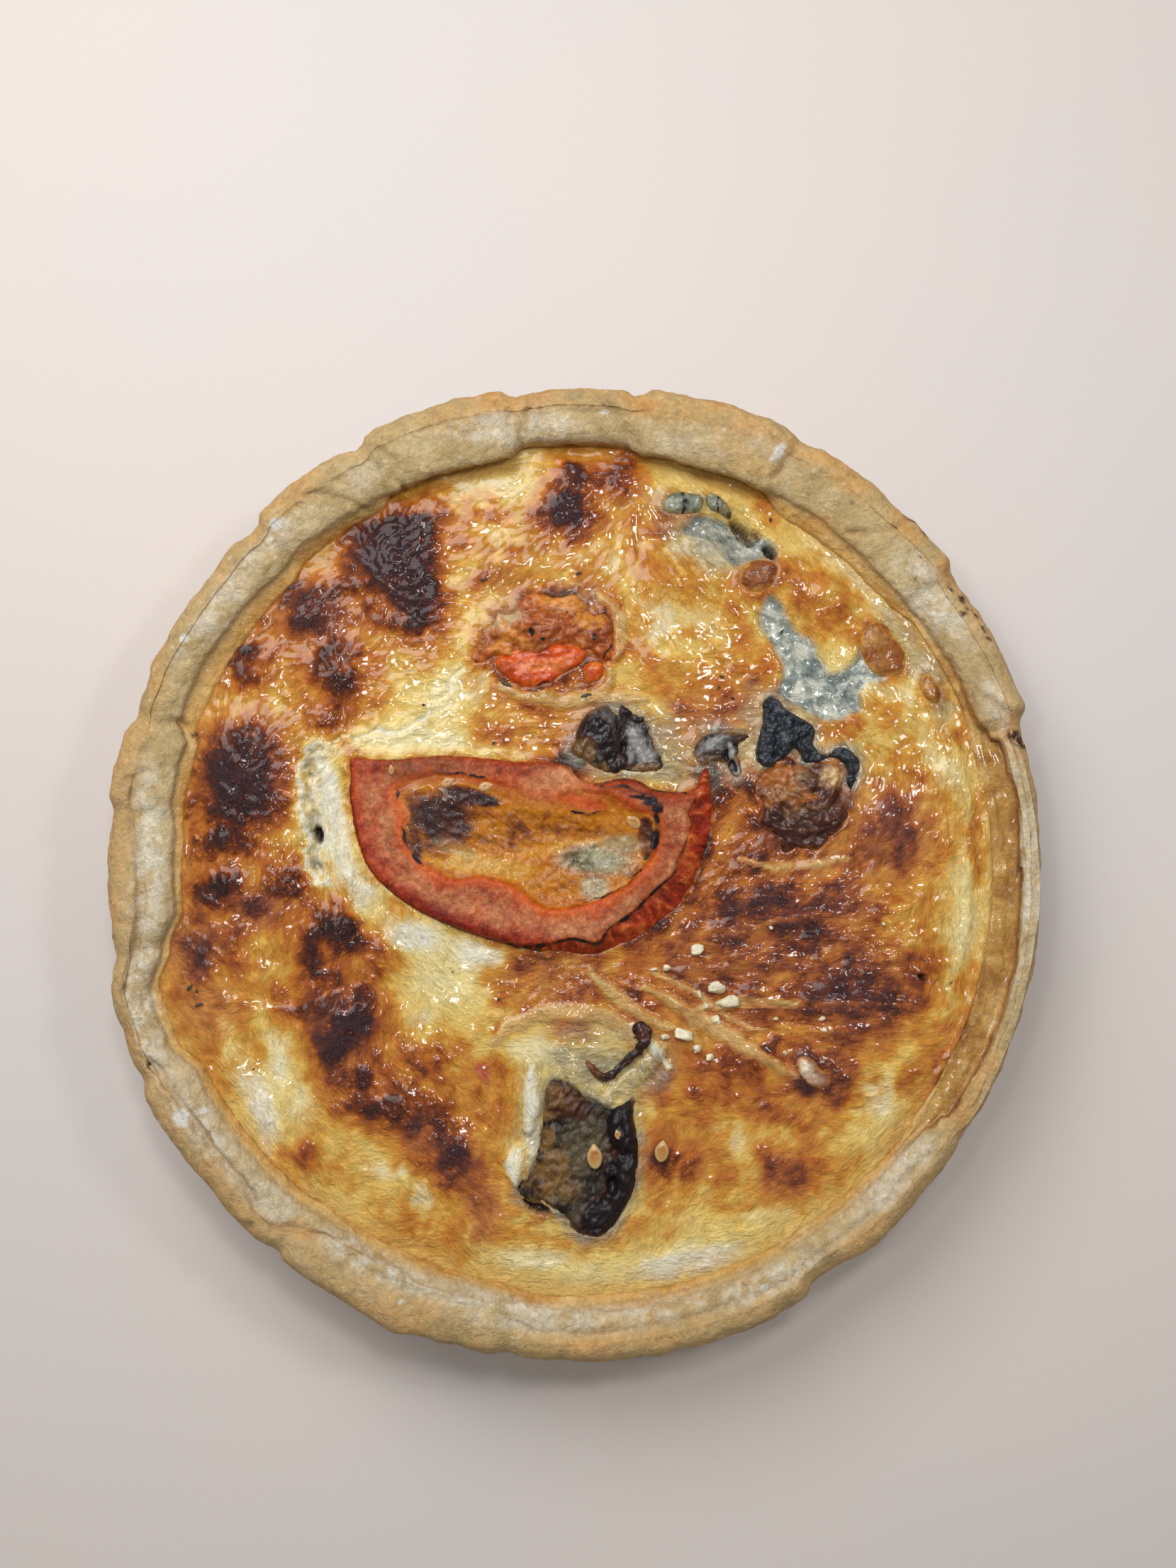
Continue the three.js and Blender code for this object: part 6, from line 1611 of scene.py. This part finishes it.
smallPieces = {
    "onionBit": {
        "slot": "onion_pale", "nodes": ["onion_bit"],
        "outline": [
            (40.2, -34.6), (42, -33.8), (43.6, -34.6), (45, -36.2), (46.6, -37.4), (46.8, -39.2),
            (45.4, -40.4), (43.2, -40.2), (41.4, -38.8), (40.2, -37),
        ],
        "thick": 1.7, "edge": 2.0, "lumps": (2.4, 0.3), "folds": 0.2,
        "pale": [(41.6, -36.2, 1.6, 1.6, 0, 1), (43.6, -38.4, 1.6, 1.2, 0, 0.5)],
        "baked": [(45, -37, 1.8, 1.8, 0, 0.6), (44, -40, 2.4, 0.8, 0, 0.5), (43.4, -35, 1.6, 0.7, -30, 0.6)],
    },
    "squashCube": {
        "slot": "squash", "nodes": ["squash_cube"],
        "outline": [
            (53.4, 44.4), (55, 46), (57, 46), (59, 44.2), (61, 41.6), (61.8, 39.6), (61.4, 36.8), (60, 35.4),
            (57, 35.4), (54.6, 36.6), (53, 39.4), (52.6, 42),
        ],
        "thick": 1.5, "edge": 2.0, "lumps": (3, 0.35), "folds": 0.25, "foldSize": 1.6,
        "pale": [(56, 42.6, 2.6, 2, 0, 0.4), (57, 38, 1.6, 2, 0, 0.3)],
        "baked": [(59.6, 39, 2, 3, 0, 0.3), (55, 38, 1.6, 2.4, 0, 0.3)],
        "darkLines": [([(55.6, 46.2), (58.4, 45.2), (61, 42), (61.9, 40)], 0.35)],
    },
    "squashCubeSmall": {
        "slot": "squash", "nodes": ["squash_cube_small"],
        "outline": [
            (63.9, 35.6), (65.4, 36.4), (66.8, 35.2), (67.9, 33), (67.6, 30.8), (66.2, 30.2), (64.6, 31.2),
            (63.6, 33.4),
        ],
        "thick": 1.6, "edge": 1.3, "lumps": (2, 0.2), "pale": [(65.2, 33, 1.2, 1.8, 0, 0.5)],
        "baked": [(67, 33.4, 0.9, 2, 0, 0.3)],
        "darkLines": [([(65.4, 36.5), (67.6, 34.4), (68.2, 32)], 0.25)],
    },
    "pepperBit": {
        "slot": "pepper", "nodes": ["pepper_bit"],
        "outline": [
            (30.2, 53.4), (31, 56), (32.8, 57.4), (35.4, 57.6), (37.2, 57), (38, 55.4), (36.8, 52.4),
            (34.8, 51), (32, 51),
        ],
        "thick": 1.2, "edge": 2.0, "lumps": (2.6, 0.35), "folds": 0.25, "pale": [(34, 55, 1.6, 1.6, 0, 0.25)],
        "baked": [(34.6, 54.6, 3, 2.6, 0, 0.4), (32, 52.4, 2, 1.5, 0, 0.4), (36.4, 55, 1.2, 1.6, 0, 0.5)],
    },
    "courgetteEnd": {
        "slot": "courgette", "nodes": ["courgette_end_1"],
        "outline": [
            (15.8, 67), (16.6, 69.2), (18.6, 70.4), (21, 70.2), (23.6, 69.6), (24.2, 67.6), (22.8, 66),
            (20, 65.6), (17.2, 65.8),
        ],
        "thick": 1.4, "edge": 1.2, "lumps": (1.8, 0.3), "folds": 0.3,
        "pale": [(17.6, 67.6, 1.2, 1.2, 0, 0.7), (22.4, 68, 1.3, 1.5, 0, 0.6)],
        "darkLines": [([(19.8, 70.4), (20.4, 68), (20, 65.8)], 0.4)], "baked": [(19, 65.6, 3, 0.7, 0, 0.35)],
    },
    "courgetteEndSmall": {
        "slot": "courgette", "nodes": ["courgette_end_2"],
        "outline": [
            (24.4, 70), (26.2, 70), (28, 68.4), (29.4, 66), (28.6, 65), (26.8, 66), (25, 66.6), (24, 68.2),
        ],
        "thick": 1.1, "edge": 1.0, "lumps": (1.6, 0.3), "folds": 0.3, "pale": [(26, 68, 1, 1.2, 0, 0.4)],
        "dark": [(28.6, 66, 0.7, 0.8, 0, 0.6)],
        "darkLines": [([(26.4, 69.8), (26.4, 67.6), (27, 65.8)], 0.3)],
    },
}


# Long thin pieces and small bits
def sweep(points, widths, heights, around, ripple, layer):  # a flattened tube along a line of (x, y, rise)
    line = smoothLine(points, 7)
    count = len(line)
    bpy.ops.mesh.primitive_grid_add(x_subdivisions=around, y_subdivisions=count - 1, size=2)
    piece = bpy.context.object
    grid = readPlaces(piece)
    turn = (grid[:, 0] + 1) * math.pi
    step = np.round((grid[:, 1] + 1) / 2 * (count - 1)).astype(int)
    share = np.arange(count) / (count - 1)
    wide = np.interp(share, np.linspace(0, 1, len(widths)), widths) / 2
    tall = np.interp(share, np.linspace(0, 1, len(heights)), heights) / 2
    ends = np.sqrt(np.clip(1 - (2 * share - 1) ** 12, 0, 1))
    wide, tall = wide * ends, tall * ends
    heading = np.gradient(line[:, :2], axis=0)
    heading /= np.linalg.norm(heading, axis=1)[:, None] + 1e-9
    rough = 1 + ripple * perlin(np.cos(turn) * 1.4 + layer, np.sin(turn) * 1.4, step * 0.33)
    side, up = np.cos(turn) * wide[step] * rough, np.sin(turn) * tall[step] * rough
    x = line[step, 0] - heading[step, 1] * side
    y = line[step, 1] + heading[step, 0] * side
    z = fillingHeight(line[:, 0], line[:, 1])[step] + line[step, 2] + up
    writePlaces(piece, np.column_stack([x, y, z]) * metre)
    return piece


curl = {
    "points": [
        (10.4, -28.6, 0.9), (12.2, -29.6, 1.3), (12.4, -31.6, 1.4), (10.9, -33.4, 1.2), (8.6, -35.6, 1.1),
        (6.6, -37.4, 0.9), (5.0, -37.8, 0.9), (3.2, -36.4, 0.9), (2.0, -34.9, 0.7),
    ],
    "widths": [1.8, 2.6, 2.0, 1.3, 1.0, 1.4, 1.3, 1.0, 0.7],
    "heights": [1.2, 1.7, 1.4, 1.1, 0.9, 1.1, 1.0, 0.8, 0.6],
}

# white crumbs: x, y, across, along, turn, tall
crumbs = [
    (22, -14.8, 1.5, 1.1, 20, 1.1), (16.6, -18.2, 0.9, 0.7, 10, 0.6), (14.4, -18.4, 0.7, 0.4, 0, 0.4),
    (25.8, -21.7, 1.7, 1.3, 15, 1.2), (23.8, -25.1, 0.8, 0.7, 30, 0.8), (22.6, -23, 0.6, 0.9, 20, 0.6),
    (27.8, -24.4, 2.3, 1.6, 12, 0.9), (25.4, -27.4, 0.9, 0.8, 0, 0.7), (26.2, -28, 0.6, 0.6, 0, 0.5),
    (19.6, -30.2, 2.4, 1.3, -8, 1.0), (16.2, -30.6, 1.0, 0.7, 0, 0.6), (22, -32.6, 0.9, 0.9, 0, 0.9),
    (24.4, -34.4, 0.9, 0.7, 20, 0.7), (38.2, -33.6, 0.5, 0.5, 0, 0.5), (36.6, -27.4, 0.5, 0.4, 0, 0.4),
    (45, -27.4, 0.7, 0.5, 0, 0.4), (45.4, -29.4, 0.5, 0.5, 0, 0.4), (35.8, -10.8, 0.5, 0.4, 0, 0.4),
    (56.4, -10.2, 0.4, 0.4, 0, 0.4), (-16.6, -36.2, 0.3, 0.3, 0, 0.2),
]

# seeds: x, y, across, along, turn, rise over the filling
seeds = [
    (-23.4, 15.8, 0.8, 1.3, -62, 1.2), (-16.4, 15.0, 0.9, 1.4, -75, 1.3), (-33.6, 18, 0.5, 0.9, 5, 2.9),
    (10.6, 8.6, 1.1, 1.6, 50, 1.5), (3.5, -52, 1.4, 2.3, 4, 1.7), (7.7, -48, 0.6, 0.9, 20, 2.4),
    (15.7, -51.2, 1.3, 2.0, -8, 0.9),
]

# dark bits of leaf: x, y, length, turn
herbs = [
    (-70.6, -21.7, 1.7, 55), (-68.8, -25, 1.6, 20), (-69.4, -22.4, 0.8, 80), (0.6, 54.6, 1.2, 20),
    (27, 35.4, 1.0, -20), (26.4, 33.4, 0.7, 40), (36.4, 64.9, 0.9, 80), (38.2, 43.8, 0.9, 60),
    (-12.8, 34.2, 3.6, -35), (-15, 23, 0.8, 30), (-28, 30.2, 0.6, 10), (-17, 53.4, 1.4, 15),
    (2, 31.6, 2.2, 12), (-58.6, -36.4, 0.4, 0), (-22.4, -18.9, 0.4, 0), (29, 31.4, 0.8, -30),
    (-14, -23.8, 0.8, 30),
]


def layBit(piece, px, py, turn, u, v, z):  # moves a small bit's vertices to its place on the filling
    c, s = math.cos(math.radians(turn)), math.sin(math.radians(turn))
    x, y = px + u * c - v * s, py + u * s + v * c
    writePlaces(piece, np.column_stack([x, y, float(fillingHeight(px, py)) + z]) * metre)


def makeCrumbs(material):
    pieces = []
    flatAt = 0.62  # a few flat cuts make a round bit a broken one
    for index, (px, py, across, along, turn, tall) in enumerate(crumbs):
        bpy.ops.mesh.primitive_ico_sphere_add(subdivisions=4, radius=1)
        pieces.append(bpy.context.object)
        p = readPlaces(pieces[-1])
        chip = np.ones(len(p))
        cuts = np.random.default_rng(40 + index).normal(size=(7, 3))
        for cut in cuts / np.linalg.norm(cuts, axis=1)[:, None]:
            reach = p @ cut
            chip = np.minimum(chip, np.where(reach > flatAt, flatAt / np.maximum(reach, flatAt), 1))
        p = p * (chip * (1 + 0.1 * perlin(p[:, 0] * 2.2 + index, p[:, 1] * 2.2, p[:, 2] * 2.2)))[:, None]
        layBit(
            pieces[-1], px, py, turn, p[:, 0] * across, p[:, 1] * along, 0.45 * tall + 0.25 + p[:, 2] * tall
        )
    finishPiece(joinPieces(pieces), "cheeseCrumbs", material, "custard")


def makeSeeds(material):
    pieces = []
    for px, py, across, along, turn, rise in seeds:
        bpy.ops.mesh.primitive_uv_sphere_add(segments=20, ring_count=14, radius=1)
        pieces.append(bpy.context.object)
        p = readPlaces(pieces[-1])
        narrow = 1 - 0.42 * smooth(p[:, 1], 0.1, 1.0)  # one end is pointed
        dish = 0.62 - 0.2 * np.exp(-((p[:, 0] ** 2 + (p[:, 1] + 0.15) ** 2) / 0.22)) * (p[:, 2] > 0)
        layBit(
            pieces[-1], px, py, turn, p[:, 0] * across * narrow, p[:, 1] * along,
            rise + p[:, 2] * dish * across
        )
        keepMask(pieces[-1], "rim", smooth(np.hypot(p[:, 0], p[:, 1]), 0.5, 0.9))
    finishPiece(joinPieces(pieces), "seeds", material, "custard")


def makeHerbs(material):
    pieces = []
    for index, (px, py, length, turn) in enumerate(herbs):
        c, s = math.cos(math.radians(turn)) * length / 2, math.sin(math.radians(turn)) * length / 2
        bend = 0.25 * math.sin(index * 2.3)
        rise = 1.95 if (px, py) == (2, 31.6) else 0.45  # one of them lies on the roast tomato
        points = [(px - c, py - s, rise), (px - bend * s, py + bend * c, rise + 0.12), (px + c, py + s, rise)]
        pieces.append(sweep(points, [0.2, 0.42 * length**0.5 + 0.1, 0.15], [0.16, 0.3, 0.14], 8, 0.4, index))
    piece = joinPieces(pieces)
    tidyMesh(piece)
    finishPiece(piece, "herbBits", material, "aubergine_skin")


def makeCurl(material):
    piece = sweep(curl["points"], curl["widths"], curl["heights"], 22, 0.9, 1.7)
    tidyMesh(piece)
    x = readPlaces(piece)[:, 0] / metre
    for mask in ("pale", "baked", "dark", "film", "rim"):
        keepMask(piece, mask, 0.75 * (1 - smooth(x, 2.5, 6)) if mask == "baked" else 0 * x)
    finishPiece(piece, "aubergineCurl", material, "aubergine_skin", "aubergine_curl")


def makePlainMaterial(name, low, high, rough, coat, scale, strength=0.4, rim=None):
    material, tree, shader, place = newMaterial(name, rough, coat, 0.12, 0.5)
    grain = noiseValue(place, scale, 5, 0.6, 0.4)
    colour = ramp(grain, [(0.34, *low), (0.62, *high)])
    if rim:
        colour = blendColour(maskValue(tree, "rim"), colour, paint(*rim))
    finishMaterial(shader, colour, grain, strength, 0.0003)
    return material


# material, paints for low, middle and high grain, pale, toasted and filmed places, then how rough, how much
# coat, the grain's scale, how creased and how strong the relief
looks = {
    "roast_skin": (
        "roastSkin", (138, 60, 16), (180, 94, 32), (206, 132, 64), (186, 166, 128), (116, 50, 18),
        (204, 130, 48), 0.38, 0.3, 300.0, 1.0, 0.9,
    ),
    "roast_flesh": (
        "roastFlesh", (160, 46, 6), (196, 72, 8), (216, 104, 26), (220, 134, 60), (134, 46, 10),
        (204, 112, 30), 0.32, 0.3, 260.0, 0.8, 0.8,
    ),
    "aubergine": (
        "aubergine", (16, 13, 10), (34, 27, 19), (62, 51, 35), (90, 79, 56), (84, 44, 20), (128, 94, 48),
        0.42, 0.1, 330.0, 1.0, 1.0,
    ),
    "aubergineFold": (
        "aubergineFold", (16, 14, 16), (36, 32, 32), (68, 63, 60), (160, 157, 152), (96, 56, 26),
        (112, 80, 44), 0.36, 0.3, 330.0, 1.0, 1.0,
    ),
    # dark skin, its lighter blue-grey grain a painted sheen
    "aubergine_skin": (
        "aubergineSkin", (18, 20, 25), (36, 41, 48), (66, 73, 82), (90, 95, 100), (84, 44, 22), (58, 50, 40),
        0.4, 0.3, 420.0, 1.0, 1.0,
    ),
    "onion": (
        "onion", (60, 28, 16), (96, 48, 26), (132, 78, 44), (206, 168, 116), (58, 28, 22), (164, 96, 36),
        0.36, 0.35, 280.0, 1.0, 1.0,
    ),
    "onion_pale": (
        "onionPale", (146, 88, 52), (170, 116, 78), (190, 148, 110), (216, 198, 170), (112, 58, 34),
        (180, 116, 54), 0.32, 0.4, 300.0, 0.8, 0.8,
    ),
    "squash": (
        "squash", (120, 62, 14), (148, 84, 24), (168, 108, 42), (190, 142, 76), (130, 64, 16), (196, 146, 70),
        0.34, 0.4, 300.0, 0.8, 0.8,
    ),
    "pepper": (
        "pepper", (112, 54, 16), (138, 76, 26), (162, 100, 42), (186, 134, 70), (104, 46, 16), (196, 144, 66),
        0.34, 0.4, 300.0, 0.8, 0.8,
    ),
    "courgette": (
        "courgette", (58, 62, 44), (92, 96, 74), (124, 128, 106), (150, 156, 140), (84, 62, 30),
        (150, 138, 92), 0.34, 0.4, 380.0, 0.8, 0.8,
    ),
    "curl": (
        "burntCurl", (22, 9, 9), (42, 18, 14), (84, 38, 22), (100, 60, 40), (120, 62, 26), (70, 34, 18), 0.36,
        0.4, 420.0, 1.0, 1.0,
    ),
}

toppingMaterials = {key: makeToppingMaterial(*look) for key, look in looks.items()}
toppingMaterials["tomato"] = makeTomatoMaterial()

# piece, its settings, its form, look, slot, replaced nodes and the size of its faces
toppings = [
    ("tomatoSlice", tomato, shapeTomato, "tomato", "tomato", ["tomato_slice"], 0.33),
    (
        "roastTomatoSkin", roastTomato["skin"], shapeLump, "roast_skin", "roast_skin", ["roast_tomato_skin"],
        0.32,
    ),
    (
        "roastTomatoFlesh", roastTomato["flesh"], shapeLump, "roast_flesh", "roast_flesh",
        ["roast_tomato_flesh"], 0.32,
    ),
    ("roastTomatoLobe", roastTomato["lobe"], shapeLump, "roast_flesh", "roast_flesh", [], 0.32),
    ("aubergineSlice", aubergine["slice"], shapeLump, "aubergine", "aubergine", ["aubergine_slice"], 0.32),
    ("aubergineFold", aubergine["fold"], shapeLump, "aubergineFold", "aubergine", ["aubergine_fold"], 0.28),
    (
        "aubergineShard", aubergine["shard"], shapeLump, "aubergineFold", "aubergine", ["aubergine_shard"],
        0.28,
    ),
    (
        "aubergineStrip", aubergineSkin, shapeLump, "aubergine_skin", "aubergine_skin", ["aubergine_skin"],
        0.26,
    ),
    ("onionWedge", onion, shapeOnion, "onion", "onion", ["onion_wedge"], 0.32),
]
for name, settings in smallPieces.items():
    toppings.append((name, settings, shapeLump, settings["slot"], settings["slot"], settings["nodes"], 0.28))


def makeToppings():
    for name, settings, shape, look, slot, nodes, cell in toppings:
        layTopping(name, settings, shape, toppingMaterials[look], slot, nodes, cell)
    makeCurl(toppingMaterials["curl"])
    makeCrumbs(makePlainMaterial("cheeseCrumb", (210, 192, 146), (236, 228, 200), 0.5, 0.1, 700))
    makeSeeds(makePlainMaterial("seed", (160, 98, 38), (196, 148, 84), 0.22, 0.4, 500, 0.3, (204, 172, 118)))
    makeHerbs(makePlainMaterial("herb", (34, 30, 20), (70, 62, 44), 0.5, 0.1, 900))


makeCase(makePastryMaterial())
makeFilling(makeFillingMaterial())
makeToppings()


# Floor, camera and lights
studio = {
    "target": (2.3, 15.6, 23.0), "distance": 300.0, "lift": 86.6, "seen": 289.8, "sensor": 24,
    "floor": (216, 209, 206), "floorWarm": (221, 211, 204), "sky": 0.22, "skyTint": (1.0, 0.985, 0.97, 1),
    # place and size in metres, watts
    "panels": [
        ((-0.16, 0.28, 0.42), 0.3, 1.76), ((0.05, 0.14, 0.5), 0.05, 0.38), ((0.26, 0.14, 0.45), 0.07, 0.4),
        ((-0.12, 0.04, 0.5), 0.04, 0.19),
    ],
    "aim": (0, 0, 0.02),
}


def makeStudio():
    bpy.ops.mesh.primitive_plane_add(size=6, location=(0, 0, -0.0001))
    floor = bpy.context.object
    floor.name = "floor"
    material, _, shader, place = newMaterial("paleSurface", 0.55, 0.0, 0.1, 0.3)
    soft = remap(noiseValue(place, 6, 3, 0.5), 0.35, 0.65)
    colour = blendColour(soft, paint(*studio["floor"]), paint(*studio["floorWarm"]))
    finishMaterial(shader, colour, noiseValue(place, 1500, 4, 0.6), 0.08, 0.0003)
    floor.data.materials.append(material)

    target = Vector(studio["target"]) * metre
    lift = math.radians(studio["lift"])
    camera = bpy.data.objects.new("camera", bpy.data.cameras.new("camera"))
    bpy.context.scene.collection.objects.link(camera)
    camera.location = target + Vector((0, -math.cos(lift), math.sin(lift))) * studio["distance"] * metre
    camera.rotation_euler = (math.radians(90) - lift, 0, 0)
    camera.data.sensor_fit = "VERTICAL"
    camera.data.sensor_height = studio["sensor"]
    camera.data.lens = studio["sensor"] * studio["distance"] / studio["seen"]
    camera.data.clip_start = 0.01
    bpy.context.scene.camera = camera

    world = bpy.data.worlds.new("studio")
    bpy.context.scene.world = world
    world.use_nodes = True
    sky = world.node_tree.nodes["Background"].inputs
    sky["Color"].default_value = studio["skyTint"]
    sky["Strength"].default_value = studio["sky"]
    for place, size, watts in studio["panels"]:
        light = bpy.data.objects.new("panel", bpy.data.lights.new("panel", "AREA"))
        light.data.shape = "SQUARE"
        light.data.size = size
        light.data.energy = watts
        light.location = place
        light.rotation_euler = (Vector(studio["aim"]) - Vector(place)).to_track_quat("-Z", "Y").to_euler()
        bpy.context.scene.collection.objects.link(light)
    bpy.context.scene.view_settings.view_transform = "Standard"
    print("quiche: studio made")


makeStudio()
